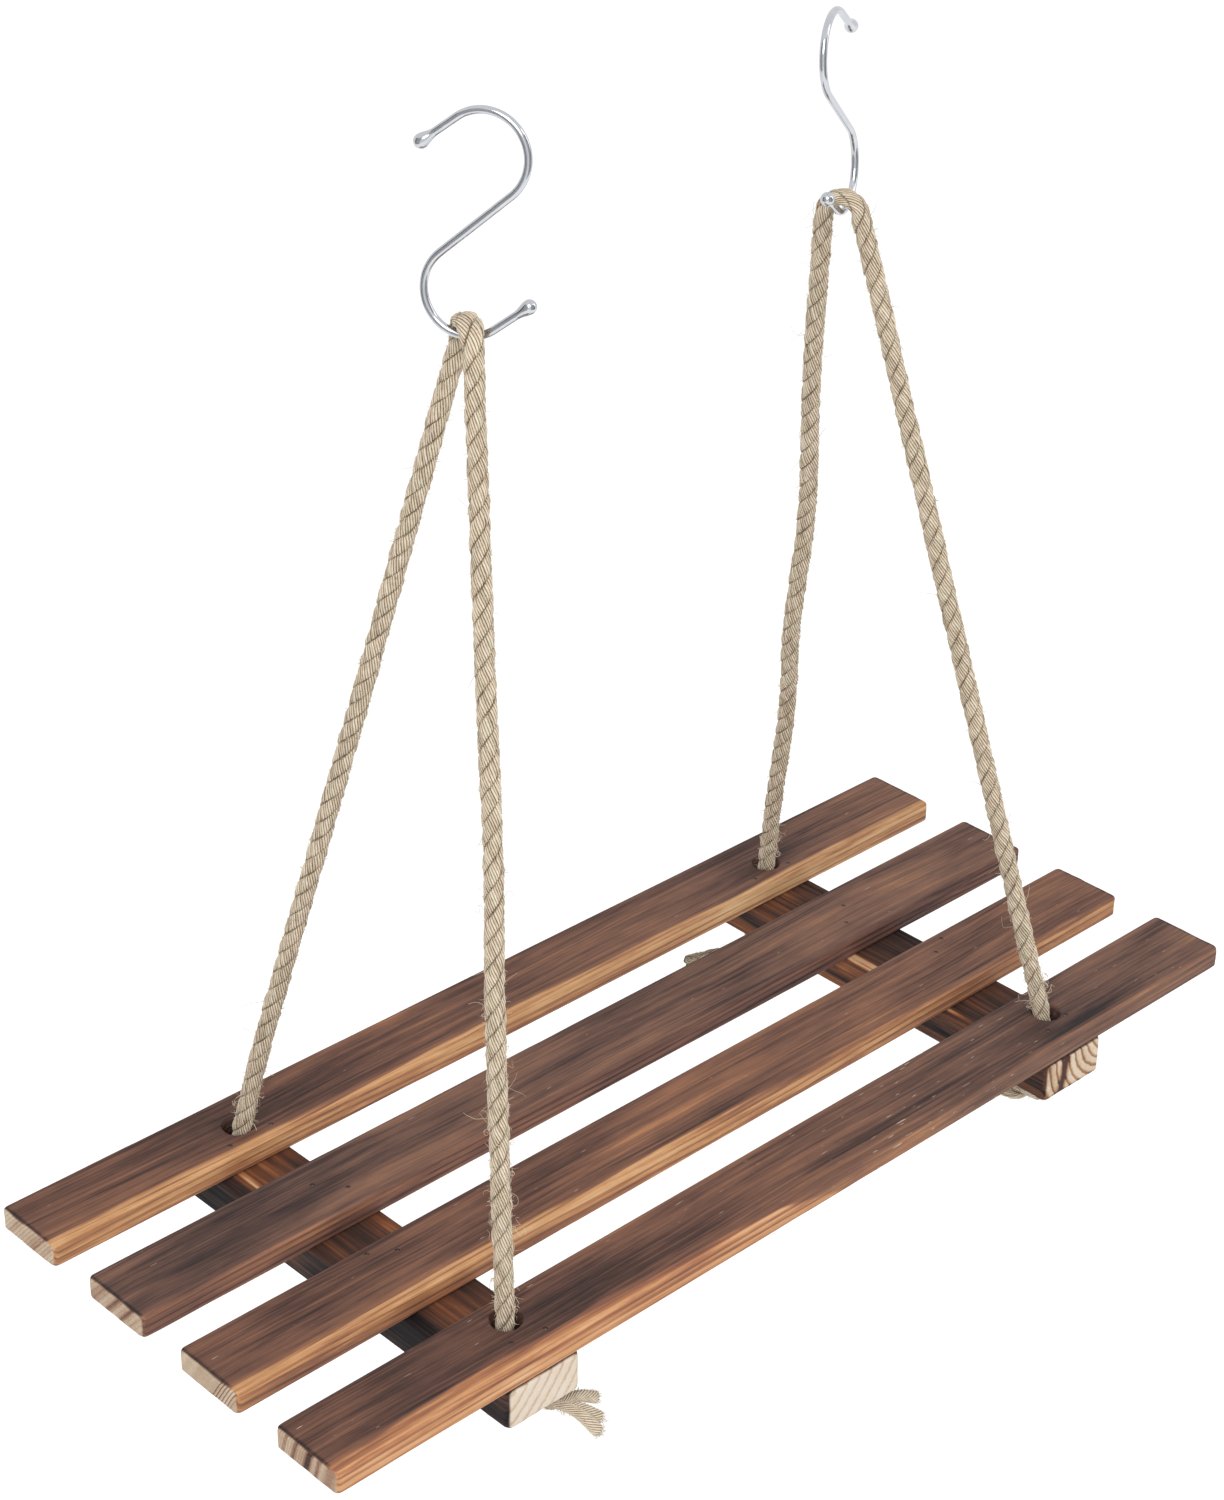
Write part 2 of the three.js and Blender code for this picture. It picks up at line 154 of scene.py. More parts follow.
SPLAY_TWIST = -330
SPLAY_TIP_ROUND = 0.0011
SPLAY_END_HAIRS = 70
SPLAY_SIDE_HAIRS = 60
SPLAY_END_HAIR_LENGTHS = (0.0010, 0.0034)
SPLAY_SIDE_HAIR_LENGTHS = (0.001, 0.003)
SPLAY_HAIR_SINK = 0.0008
STRAND_RADIUS = 0.0021
SPLIT_DEPTH = 0.0093
THINNING_DEPTH = 0.010

# Lay of the ropes and their loose fibres
LAY_LENGTH = 0.027
STRANDS = 3
STRAND_SIDES = 48
STRAND_SEAM = 0.007
GROOVE_SHARE = 0.13
GROOVE_POWER = 2.4
YARNS = 12
ARC_SHARE = 0.5833
CORE_SHARE = 0.12
YARN_SLOPE = 0.4
YARN_RELIEF = 0.00034
ROPE_STEP = 0.0009
TIP_ROUND = 0.0018
PRESSED_LENGTH = 0.008
PRESSED_THINNER = 0.22
PRESSED_WIDER = 0.36
HAIRS_PER_RING = 2.4
CURLY_HAIRS_PER_RING = 1.8
HAIR_RADII = (0.00008, 0.00013)
HAIR_LENGTHS = (0.0010, 0.0032)
LONG_HAIR_LENGTHS = (0.004, 0.011)
LONG_HAIR_CHANCE = 0.04
CURL_LENGTHS = (0.006, 0.015)
CURL_CHANCE = 0.2
CURL_BENDS = (0.3, 0.8)
CURLY_LOWEST = 0.002
HAIR_STEPS = 7
CURL_STEPS = 22
HEART_SHARE = 0.55
ROOT_SHARE = 0.92
CURLY_REACH = {
    "left": {"rear": 0.028, "front": 0.11},
    "right": {"rear": 0.024, "front": 0.04},
}

# Sizes that follow from the ones above
SLAT_PITCH = SLAT_WIDTH + SLAT_GAP
BAR_LENGTH = SLAT_COUNT * SLAT_WIDTH + (SLAT_COUNT - 1) * SLAT_GAP
BAR_TOP = -SLAT_THICKNESS - WOOD_SEAT_GAP
BAR_BOTTOM = BAR_TOP - BAR_THICKNESS
HOOK_SEAT_SPAN = 2 * (HOOK_BEND_OFFSET + HOOK_BEND_RADIUS)
HOOK_LEAN = math.atan((BAR_SPACING - SEAT_SPACING) / 2 / SEAT_HEIGHT)
DECK_DROP = SEAT_HEIGHT + HOOK_SEAT_SPAN * math.cos(HOOK_LEAN) - WIRE_RADIUS
KNOT_HEIGHT = BAR_BOTTOM - ROPE_CLEARANCE - KNOT_RISE - ROPE_KNOT_RADIUS
LOWERED = np.array([0, 0, -DECK_DROP])
SPLAY_YARN_RELIEF = 1.8 * YARN_RELIEF
SIDES = ("left", "right")
ENDS = ("rear", "front")
SIGN = {"left": -1, "right": 1, "rear": 1, "front": -1}

# Camera, for a picture of 1224 by 1500 pixels
IMAGE_HEIGHT = 1500
FOCAL_PIXELS = 3199.67
SENSOR_HEIGHT = 36
CAMERA_PLACE = (-0.76530, -0.77814, 0.33929)
CAMERA_AZIMUTH = -43.636
CAMERA_ELEVATION = 29.384
CAMERA_ROLL = 0.633


def camera_axes():
    """The camera's right, up and back directions."""
    azimuth = math.radians(CAMERA_AZIMUTH)
    elevation = math.radians(CAMERA_ELEVATION)
    roll = math.radians(CAMERA_ROLL)
    back = np.array([
        math.sin(azimuth) * math.cos(elevation),
        -math.cos(azimuth) * math.cos(elevation),
        math.sin(elevation),
    ])
    level = np.array([math.cos(azimuth), math.sin(azimuth), 0])
    right = level * math.cos(roll) + np.cross(back, level) * math.sin(roll)
    return right, np.cross(back, right), back


def add_to_scene(obj, axes, place):
    """Links an object that stands at a place with its own axes along three directions."""
    matrix = np.eye(4)
    matrix[:3, :3] = np.column_stack(axes)
    matrix[:3, 3] = place
    obj.matrix_world = matrix.T.tolist()
    bpy.context.scene.collection.objects.link(obj)


def add_camera():
    data = bpy.data.cameras.new("camera")
    data.sensor_fit = "VERTICAL"
    data.sensor_height = SENSOR_HEIGHT
    data.lens = SENSOR_HEIGHT * FOCAL_PIXELS / IMAGE_HEIGHT
    camera = bpy.data.objects.new("camera", data)
    add_to_scene(camera, camera_axes(), CAMERA_PLACE)
    bpy.context.scene.camera = camera


add_camera()


# Small helpers

def unit(vectors):
    return vectors / np.linalg.norm(vectors, axis=-1, keepdims=True)


def smoothstep(values, low, high):
    share = np.clip((values - low) / (high - low), 0, 1)
    return share * share * (3 - 2 * share)


def near(distance, close, far):
    """1 up to the close distance and 0 from the far one."""
    return 1 - smoothstep(distance, close, far)


def bell(values, middle, width):
    """1 at the middle and falling off smoothly to both sides of it."""
    return np.exp(-((values - middle) / width) ** 2)


def lattice(cell, seed):
    """A fixed random value from -1 to 1 for each point with whole-numbered coordinates."""
    mixed = cell @ np.array([73856093, 19349663, 83492791]) + 668265263 * seed
    mixed = (mixed ^ (mixed >> 15)) * 2246822519
    mixed = (mixed ^ (mixed >> 13)) * 3266489917
    return ((mixed >> 16) & 0xFFFF) / 32767.5 - 1


def noise(points, seed):
    """Smooth noise from -1 to 1, with one random value for each cell of size 1. Places in metres come
    multiplied by how many cells there are in a metre."""
    cell = np.floor(points).astype(np.int64)
    inside = points - cell
    inside = inside * inside * (3 - 2 * inside)
    total = np.zeros(len(points))
    for corner in range(8):
        offset = np.array([corner & 1, corner >> 1 & 1, corner >> 2 & 1])
        weight = np.prod(np.where(offset, inside, 1 - inside), axis=1)
        total += weight * lattice(cell + offset, seed)
    return total


def noise_along(along, cells, seed):
    """Noise by the distance along a line, with some cells in each metre of it."""
    return noise(np.outer(along, [cells, 0, 0]), seed)


def make_mesh(name, vertices, faces, material=None):
    """A smooth mesh object in the scene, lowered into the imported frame."""
    data = bpy.data.meshes.new(name)
    data.from_pydata((vertices + LOWERED).tolist(), [], faces)
    data.update()
    data.shade_smooth()
    if material:
        data.materials.append(material)
    obj = bpy.data.objects.new(name, data)
    bpy.context.scene.collection.objects.link(obj)
    return obj


def set_attributes(obj, attributes):
    """Keeps a value or a vector for each vertex of an object under each name."""
    for name, values in attributes.items():
        vector = values.ndim == 2
        kind = "FLOAT_VECTOR" if vector else "FLOAT"
        layer = obj.data.attributes.new(name, kind, "POINT")
        layer.data.foreach_set("vector" if vector else "value", values.astype(np.float32).ravel())


def smooth_curve(points, steps=24):
    """A centripetal Catmull-Rom curve through the points, with some steps in each stretch."""
    points = np.asarray(points, float)
    padded = np.vstack([2 * points[0] - points[1], points, 2 * points[-1] - points[-2]])
    share = np.linspace(0, 1, steps, endpoint=False)[:, None]
    line = []
    for before, start, end, after in zip(padded, padded[1:], padded[2:], padded[3:]):
        first, middle, last = [
            math.sqrt(np.linalg.norm(b - a)) for a, b in ((before, start), (start, end), (end, after))
        ]
        leave = (start - before) / first - (end - before) / (first + middle) + (end - start) / middle
        arrive = (end - start) / middle - (after - start) / (middle + last) + (after - end) / last
        leave, arrive = leave * middle, arrive * middle
        square = 3 * (end - start) - 2 * leave - arrive
        cube = 2 * (start - end) + leave + arrive
        line.append(start + leave * share + square * share ** 2 + cube * share ** 3)
    return np.vstack(line + [points[-1:]])


def distance_along(line):
    return np.concatenate([[0], np.cumsum(np.linalg.norm(np.diff(line, axis=0), axis=1))])


def even_points(line, step):
    """Points on a line at even steps."""
    along = distance_along(line)
    marks = np.linspace(0, along[-1], max(2, round(along[-1] / step) + 1))
    return np.column_stack([np.interp(marks, along, line[:, axis]) for axis in range(3)])


def carried_frames(line):
    """Directions along a line, and two across it that are carried along without twist."""
    ways = unit(np.gradient(line, axis=0))
    across = np.cross(ways[0], [0.3, 0.4, 0.87])
    sides = []
    for way in ways:
        across = unit(across - way * (across @ way))
        sides.append(across)
    sides = np.array(sides)
    return ways, sides, np.cross(ways, sides)


def ring_ways(normal, binormal, angle):
    """Directions round each point of a line, at some angles from its normal."""
    return normal[:, None] * np.cos(angle)[..., None] + binormal[:, None] * np.sin(angle)[..., None]


def with_ends(values):
    """Values at each side of each ring in one row, then their means over the first and the last ring."""
    flat = values.reshape(-1, *values.shape[2:])
    return np.concatenate([flat, values[:1].mean(axis=1), values[-1:].mean(axis=1)])


def tube_faces(rings, sides, first=0):
    """Faces of a closed tube: quads between its rings and a fan at each end, on two added centres."""
    ring = np.arange(rings - 1)[:, None] * sides
    side = np.arange(sides)[None, :]
    after = (side + 1) % sides
    quads = np.stack([ring + side, ring + after, ring + sides + after, ring + sides + side], axis=-1)
    faces = (quads.reshape(-1, 4) + first).tolist()
    start = first + rings * sides
    last = first + (rings - 1) * sides
    for i in range(sides):
        j = (i + 1) % sides
        faces.append([start, first + j, first + i])
        faces.append([start + 1, last + i, last + j])
    return faces


# Routes, as the solids have them

def turn_y(angle):
    c, s = math.cos(angle), math.sin(angle)
    return np.array([[c, 0, s], [0, 1, 0], [-s, 0, c]])


def turn_z(angle):
    c, s = math.cos(angle), math.sin(angle)
    return np.array([[c, -s, 0], [s, c, 0], [0, 0, 1]])


def full_turn(share):
    return 2 * math.pi * share


def slat_y(index):
    return ((SLAT_COUNT - 1) / 2 - index) * SLAT_PITCH


def outer_slat(end):
    return 0 if end == "rear" else SLAT_COUNT - 1


def hole_centre(side, end):
    share_x, share_y = HOLE_SHARES[side][end]
    x = SIGN[side] * BAR_SPACING / 2 + share_x * SLAT_WIDTH
    return np.array([x, slat_y(outer_slat(end)) + share_y * SLAT_WIDTH, 0])


def hook_seat(side):
    return np.array([SIGN[side] * SEAT_SPACING / 2, 0, SEAT_HEIGHT])


def hook_turn(side):
    return turn_y(-SIGN[side] * HOOK_LEAN) @ turn_z(full_turn(HOOK_TURN_SHARES[side]))


def saddle_frame(side):
    roll = full_turn(SADDLE_ROLL_SHARES[side])
    reach = HOOK_BEND_RADIUS - WIRE_RADIUS - ROPE_SADDLE_RADIUS - SADDLE_CLEARANCE[side]
    crown = [reach * math.sin(roll), SADDLE_SHIFT[side], HOOK_BEND_RADIUS - reach * math.cos(roll)]
    centre = hook_turn(side) @ np.array(crown) + hook_seat(side)
    radius = SADDLE_RADIUS[side]
    centre[2] -= radius
    heading = full_turn(SADDLE_TURN_SHARES[side])
    return centre, np.array([math.cos(heading), math.sin(heading), 0]), radius


def rope_entry(side, end):
    hole = hole_centre(side, end)
    inward = unit(hook_seat(side) * [1, 1, 0] - hole)
    return hole + (HOLE_RADIUS - ROPE_RADIUS - ROPE_CLEARANCE) * inward


def leg_points(side, end):
    """The leg from its saddle down to just above the deck."""
    centre, across, radius = saddle_frame(side)
    start = centre - SIGN[end] * across * radius
    entry = rope_entry(side, end)
    length = np.linalg.norm(entry - start)
    way = (entry - start) / length
    points = []
    for share, x, y in ((0, 0, 0), *LEG_WAVES[side][end], (LEG_END_SHARE, 0, 0)):
        reach = SADDLE_DROP + share * (length - SADDLE_DROP)
        points.append(start + way * reach + [x, y, 0])
    return points


def saddle_points(side):
    centre, across, radius = saddle_frame(side)
    points = []
    for i in range(SADDLE_POINTS):
        angle = math.pi * (1 - i / (SADDLE_POINTS - 1))
        point = centre + across * radius * math.cos(angle)
        point[2] += radius * math.sin(angle)
        points.append(point)
    return points


def knot_points():
    share = np.linspace(*KNOT_ARC_SHARES, KNOT_POINTS + 1)
    t = 2 * math.pi * share
    reach = KNOT_RADIUS + KNOT_LOBE * np.cos(3 * t)
    return np.column_stack([reach * np.cos(2 * t), -reach * np.sin(2 * t), KNOT_RISE * np.sin(3 * t)])


def foot_points(side, end):
    """Down through the hole, round an overhand knot under the bar, and out along a loose tail."""
    knot = knot_points()
    lead = knot[0] + KNOT_LEAD * unit((knot[0] - knot[1]) * [1, 1, 0])
    lead[2] = knot[0][2] + KNOT_LEAD_RISE
    tail_way = unit((knot[-1] - knot[-2]) * [1, 1, 0])
    tail_way[2] = TAIL_SLOPE_SHARES[side][end]
    tail = [knot[-1] + share * TAIL_LENGTH[side][end] * tail_way for share in (0.5, 1)]
    turn = turn_z(full_turn(KNOT_TURN_SHARES[side][end]))
    hole = hole_centre(side, end)
    place = hole + [*KNOT_SHIFT[side][end], KNOT_HEIGHT] - turn @ (lead * [1, 1, 0])
    below = [turn @ point + place for point in (lead, *knot, *tail)]
    entry = rope_entry(side, end)
    entry[2] = -ROPE_CLEARANCE
    middle = np.array([hole[0], hole[1], (BAR_TOP + BAR_BOTTOM) / 2])
    return [entry, middle, *below]


def rope_line(side):
    """The whole rope from its rear tail, up its rear leg, over the hook and down to its front tail."""
    rear = leg_points(side, "rear") + foot_points(side, "rear")
    front = leg_points(side, "front") + foot_points(side, "front")
    points = rear[::-1] + saddle_points(side) + front
    return even_points(smooth_curve(points), ROPE_STEP)


# Materials

def linear(red, green, blue):
    """A colour from the 0 to 255 that a screen shows."""
    shares = [value / 255 for value in (red, green, blue)]
    return tuple(s / 12.92 if s <= 0.04045 else ((s + 0.055) / 1.055) ** 2.4 for s in shares) + (1,)


def grey(value):
    return (value, value, value, 1)


def colour_stops(*stops):
    """Stops of a ramp, each from its place and the red, green and blue that a screen shows."""
    return [(place, linear(*colour)) for place, *colour in stops]


def grey_stops(*stops):
    return [(place, grey(value)) for place, value in stops]


class Nodes:
    """Nodes that are being put together in one tree."""

    def __init__(self, tree):
        self.tree = tree

    def node(self, kind, inputs=(), **settings):
        made = self.tree.nodes.new(kind)
        for name, value in settings.items():
            setattr(made, name, value)
        for name, value in dict(inputs).items():
            self.put(made, name, value)
        return made

    def put(self, node, name, value):
        socket = node.inputs[name]
        if isinstance(value, bpy.types.NodeSocket):
            self.tree.links.new(value, socket)
        else:
            socket.default_value = value

    def sum(self, a, b, factor=1.0):
        """a + b * factor"""
        return self.node("ShaderNodeMath", {0: b, 1: factor, 2: a}, operation="MULTIPLY_ADD").outputs[0]

    def math(self, operation, a, b=0.0):
        return self.node("ShaderNodeMath", {0: a, 1: b}, operation=operation).outputs[0]

    def value(self, name):
        return self.node("ShaderNodeAttribute", attribute_name=name).outputs["Fac"]

    def vector(self, name):
        return self.node("ShaderNodeAttribute", attribute_name=name).outputs["Vector"]

    def noise(self, coords, scale, detail=3.0, roughness=0.5):
        """Noise about 0, from about -0.5 to 0.5, at coordinates stretched by a scale for each axis."""
        scaled = self.node("ShaderNodeVectorMath", {0: coords, 1: scale}, operation="MULTIPLY")
        made = self.node(
            "ShaderNodeTexNoise",
            {"Vector": scaled.outputs[0], "Scale": 1.0, "Detail": detail, "Roughness": roughness},
        )
        return self.math("SUBTRACT", made.outputs["Fac"], 0.5)

    def ramp(self, value, stops):
        made = self.node("ShaderNodeValToRGB", {"Fac": value})
        elements = made.color_ramp.elements
        while len(elements) < len(stops):
            elements.new(0.5)
        for element, (place, colour) in zip(elements, stops):
            element.position = place
            element.color = colour
        return made.outputs["Color"]

    def step(self, value, low, high):
        """0 up to the low value and 1 from the high one."""
        return self.ramp(value, grey_stops((low, 0), (high, 1)))

    def mix(self, factor, a, b, blend="MIX"):
        made = self.node("ShaderNodeMix", data_type="RGBA", blend_type=blend)
        self.put(made, 0, factor)
        self.put(made, 6, a)
        self.put(made, 7, b)
        return made.outputs[2]

    def tinted(self, colour, share, tint):
        """A colour that takes up some share of a tint."""
        return self.mix(1.0, colour, self.mix(share, grey(1), tint), "MULTIPLY")


class Look(Nodes):
    """A material that is being put together."""

    def __init__(self, name):
        self.material = bpy.data.materials.new(name)
        self.material.use_nodes = True
        super().__init__(self.material.node_tree)
        self.shader = self.tree.nodes["Principled BSDF"]
        self.output = self.tree.nodes["Material Output"]

    def surface(self, inputs):
        for name, value in inputs.items():
            self.put(self.shader, name, value)

    def bump(self, height, distance, strength):
        made = self.node("ShaderNodeBump", {"Height": height, "Distance": distance, "Strength": strength})
        self.put(self.shader, "Normal", made.outputs[0])


# Depths of the relief that only the shaders show
WOOD_BUMP = 0.0003
JUTE_BUMP = 0.00025
STEEL_BUMP = 0.00004

PEACH_TINT = linear(255, 240, 246)
OLIVE_TINT = linear(243, 255, 265)


def wood_look(name, stops, end_stops, fleck_colour):
    """Wood whose faces run from bare to burnt and whose sawn ends run from pale to dark, with growth rings,
    fibres and pale flecks. Each noise has its cells in a metre along, across and through the board."""
    look = Look(name)
    grain = look.vector("grain")
    fibre = look.noise(grain, (13, 640, 640), 5, 0.7)
    band = look.noise(grain, (6, 130, 130), 4, 0.62)
    blotch = look.noise(grain, (20, 62, 62), 5, 0.6)
    speckle = look.noise(grain, (900, 900, 900), 3, 0.6)
    streak = look.step(look.noise(grain, (3.2, 300, 300), 2), 0.1, 0.26)
    ring = look.math("FRACT", look.sum(look.value("ring"), fibre, 0.3))
    late = look.ramp(ring, grey_stops((0, 0), (0.45, 0.12), (0.86, 1), (1, 0)))
    burn = look.value("burn")
    layers = ((fibre, 0.74), (band, 0.5), (blotch, 0.46), (streak, -0.14), (late, look.value("lined")))
    for layer, share in layers:
        burn = look.sum(burn, layer, share)
    colour = look.tinted(look.ramp(burn, stops), look.value("peach"), PEACH_TINT)
    colour = look.tinted(colour, look.value("olive"), OLIVE_TINT)
    end_ring = look.sum(look.value("end_ring"), look.noise(grain, (300, 300, 300), 3), 0.35)
    line = look.ramp(look.math("FRACT", end_ring), grey_stops((0, 0), (0.5, 0.08), (0.82, 1), (1, 0)))
    sawn = look.value("end_tone")
    for layer, share in ((blotch, 0.3), (speckle, 0.3), (line, look.value("end_lined"))):
        sawn = look.sum(sawn, layer, share)
    colour = look.mix(look.value("end"), colour, look.ramp(sawn, end_stops))
    dash = look.sum(look.noise(grain, (105, 1350, 1350), 1), look.value("fleck"), 0.3)
    rough = look.ramp(burn, grey_stops((0.2, 0.64), (0.6, 0.56), (1.0, 0.72)))
    look.surface({
        "Base Color": look.mix(look.step(dash, 0.33, 0.37), colour, fleck_colour),
        "Roughness": look.sum(rough, fibre, 0.3),
        "Specular IOR Level": 0.17,
    })
    look.bump(look.sum(look.sum(fibre, late, 0.25), band, 0.2), WOOD_BUMP, 0.7)
    return look.material


def slat_look():
    stops = colour_stops(
        (0.0, 240, 220, 196), (0.16, 226, 186, 142), (0.3, 211, 161, 113), (0.44, 176, 123, 86),
        (0.56, 144, 100, 77), (0.7, 119, 84, 69), (0.84, 88, 63, 55), (1.0, 52, 42, 41),
    )
    end_stops = colour_stops(
        (0.0, 238, 228, 214), (0.3, 211, 190, 164), (0.62, 163, 126, 104), (1.0, 74, 52, 44),
    )
    return wood_look("charred_slat_wood", stops, end_stops, linear(206, 186, 166))


def bar_look():
    stops = colour_stops(
        (0.0, 238, 222, 204), (0.2, 222, 190, 150), (0.36, 176, 118, 76), (0.52, 122, 76, 52),
        (0.7, 82, 56, 46), (0.86, 50, 40, 38), (1.0, 26, 22, 23),
    )
    end_stops = colour_stops(
        (0.0, 238, 227, 213), (0.3, 222, 203, 180), (0.6, 182, 140, 104), (1.0, 78, 54, 50),
    )
    return wood_look("scorched_bar_wood", stops, end_stops, linear(180, 150, 120))


def jute_look():
    """Jute yarns: streaks along each yarn, tones that drift along the rope, a few dark specks, and painted
    shade from the height values.
    """
    look = Look("jute_fibre")
    lay = look.vector("lay")
    fine = look.noise(lay, (0.6, 3.4, 1), 4, 0.7)
    broad = look.noise(lay, (0.11, 0.3, 0), 2)
    tint = look.noise(lay, (0.13, 0.45, 0), 1)
    speck = look.noise(lay, (1.3, 2.2, 0), 2)
    # The height values are the jute's brightness: each yarn's own tone, with painted shade between the
    # yarns and in the seams between the strands.
    shade = look.sum(look.sum(look.value("height"), fine, 1.1), broad, 0.35)
    colour = look.ramp(shade, colour_stops(
        (0.0, 104, 92, 76), (0.22, 152, 138, 116), (0.47, 202, 190, 168), (0.7, 229, 219, 199),
        (1.0, 248, 243, 230),
    ))
    warmer = look.ramp(tint, colour_stops((0.0, 255, 246, 240), (0.3, 247, 252, 242)))
    colour = look.mix(1.0, colour, warmer, "MULTIPLY")
    look.surface({
        "Base Color": look.mix(look.step(speck, 0.27, 0.32), colour, linear(120, 92, 62)),
        "Roughness": look.sum(0.85, fine, 0.25),
        "Specular IOR Level": 0.25,
        "Sheen Weight": 0.35,
        "Sheen Roughness": 0.4,
    })
    look.bump(fine, JUTE_BUMP, 0.7)
    return look.material


def steel_look():
    look = Look("zinc_plated_steel")
    coords = look.node("ShaderNodeTexCoord").outputs["Object"]
    cloud = look.noise(coords, (160, 160, 160), 3)
    look.surface({
        "Base Color": look.ramp(cloud, colour_stops((0.0, 192, 195, 200), (0.5, 212, 214, 218))),
        "Metallic": 1.0,
        "Roughness": look.sum(0.13, cloud, 0.1),
    })
    look.bump(look.noise(coords, (700, 700, 700), 2), STEEL_BUMP, 0.4)
    return look.material


def brad_look():
    look = Look("brad_steel")
    coords = look.node("ShaderNodeTexCoord").outputs["Object"]
    cloud = look.noise(coords, (1400, 1400, 1400), 2)
    look.surface({
        "Base Color": look.ramp(cloud, colour_stops((0.0, 84, 74, 64), (0.5, 152, 138, 122))),
        "Metallic": 0.7,
        "Roughness": look.sum(0.4, cloud, 0.3),
    })
    return look.material


# Wood: a finely divided board with rounded edges, relief along its grain and the bores that go through it

# How finely a board is divided
EDGE_LINES = 5
STEP_ALONG = 0.002
STEP_ACROSS = 0.0011
BOARD_CREASE = math.radians(50)

# Its relief, the wear of its edges and ends, and how far its rings and its grain sway
WAVE_RELIEF = 0.00012
FIBRE_RELIEF = 0.00003
RING_RELIEF = 0.00004
EDGE_WEAR = 0.0011
LEAST_EDGE_WEAR = 0.0002
END_WEAR = 0.0012
END_WEAR_REACH = (0.001, 0.004)
RING_SWAYS = (0.0024, 0.0005)
GRAIN_SWAYS = (0.0016, 0.0004)

# What is cut out of it
BORE_OVERRUN = 0.003
BORE_RIM = 0.0007
BORE_WOBBLE_SHARE = 0.03
BORE_SIDES = 64
BRAD_BORE_SIDES = 16


def edge_lines(half, corner, edge, step):
    """Places of grid lines from -half to half, closer together where the edge turns."""
    inner = half - corner
    count = max(2, round(2 * inner / step))
    middle = np.linspace(-inner, inner, count + 1)
    turn = edge * np.tan(np.linspace(0, math.pi / 4, EDGE_LINES))
    outer = np.concatenate([[half - corner + (corner - edge) / 2], half - edge + turn])
    return np.concatenate([-outer[::-1], middle, outer])


def box_grid(lines):
    """Vertices and quads of a box's surface, divided along each axis at the given lines."""
    counts = [len(line) for line in lines]
    index = {}
    vertices = []

    def vertex(key):
        if key not in index:
            index[key] = len(vertices)
            vertices.append([lines[axis][key[axis]] for axis in range(3)])
        return index[key]

    faces = []
    for axis in range(3):
        u, v = (axis + 1) % 3, (axis + 2) % 3
        for level, flipped in ((0, True), (counts[axis] - 1, False)):
            for i in range(counts[u] - 1):
                for j in range(counts[v] - 1):
                    corners = []
                    for a, b in ((i, j), (i + 1, j), (i + 1, j + 1), (i, j + 1)):
                        key = [0, 0, 0]
                        key[axis], key[u], key[v] = level, a, b
                        corners.append(vertex(tuple(key)))
                    faces.append(corners[::-1] if flipped else corners)
    return np.array(vertices), faces


@dataclass
class Board:
    """One board, drawn along X about its own middle with its top at z = 0. Its rings lie about a pith that
    runs along X, and sway from it by a share."""

    name: str
    size: np.ndarray
    corner: float
    edge: float
    place: tuple
    crosswise: bool
    seed: int
    pith: tuple
    ring_width: float
    sway_share: float

    def rings(self, points):
        """How many growth rings lie between the pith and each point."""
        sway = RING_SWAYS[0] * noise(points * [7, 9, 9] + 5, self.seed)
        sway += RING_SWAYS[1] * noise(points * [22, 30, 30] + 3, self.seed + 1)
        away = np.hypot(points[:, 1] - self.pith[0], points[:, 2] - self.pith[1])
        return (away + self.sway_share * sway) / self.ring_width

    def rounded(self, points):
        """For points of a square box, the nearest points of the board's core and the ways out from them."""
        half = self.size / 2
        flat_half = half[:2] - self.corner
        corner = np.clip(points[:, :2], -flat_half, flat_half)
        out = points[:, :2] - corner
        reach = np.linalg.norm(out, axis=1, keepdims=True)
        core_reach = self.corner - self.edge
        core = np.empty_like(points)
        core[:, :2] = corner + out * np.minimum(1, core_reach / np.maximum(reach, 1e-9))
        core[:, 2] = np.clip(points[:, 2], -half[2] + self.edge, half[2] - self.edge)
        return core, unit(points - core)

    def relief(self, surface, out):
        """How far the surface stands out: waves, fibres and late wood, less the wear of edges and ends."""
        edge_share = 1 - np.max(np.abs(out), axis=1)
        relief = WAVE_RELIEF * noise(surface * [9, 60, 60], self.seed + 2)
        relief += FIBRE_RELIEF * noise(surface * [40, 500, 500], self.seed + 3)
        relief += RING_RELIEF * smoothstep(np.mod(self.rings(surface), 1), 0.5, 0.85)
        worn = np.clip(noise(surface * [55, 200, 200], self.seed + 4) - 0.25, 0, 1)
        relief -= edge_share * (EDGE_WEAR * worn + LEAST_EDGE_WEAR)
        chipped = np.clip(noise(surface * [200, 230, 230], self.seed + 5) + 0.2, 0, 1)
        at_end = near(self.size[0] / 2 - np.abs(surface[:, 0]), *END_WEAR_REACH)
        return relief - END_WEAR * at_end * edge_share * chipped

    def shape(self):
        half = self.size / 2
        upright = edge_lines(half[2], self.edge, self.edge, STEP_ACROSS)[1:-1]
        points, faces = box_grid([
            edge_lines(half[0], self.corner, self.edge, STEP_ALONG),
            edge_lines(half[1], self.corner, self.edge, STEP_ACROSS),
            np.unique(np.concatenate([[-half[2]], upright, [half[2]]]).round(7)),
        ])
        core, out = self.rounded(points)
        surface = core + out * self.edge
        surface = surface + out * self.relief(surface, out)[:, None]
        surface[:, 2] -= half[2]
        return surface, faces

    def to_frame(self, points):
        if self.crosswise:
            points = np.column_stack([-points[:, 1], points[:, 0], points[:, 2]])
        return points + self.place

    def to_board(self, points):
        points = points - self.place
        if self.crosswise:
            points = np.column_stack([points[:, 1], -points[:, 0], points[:, 2]])
        return points


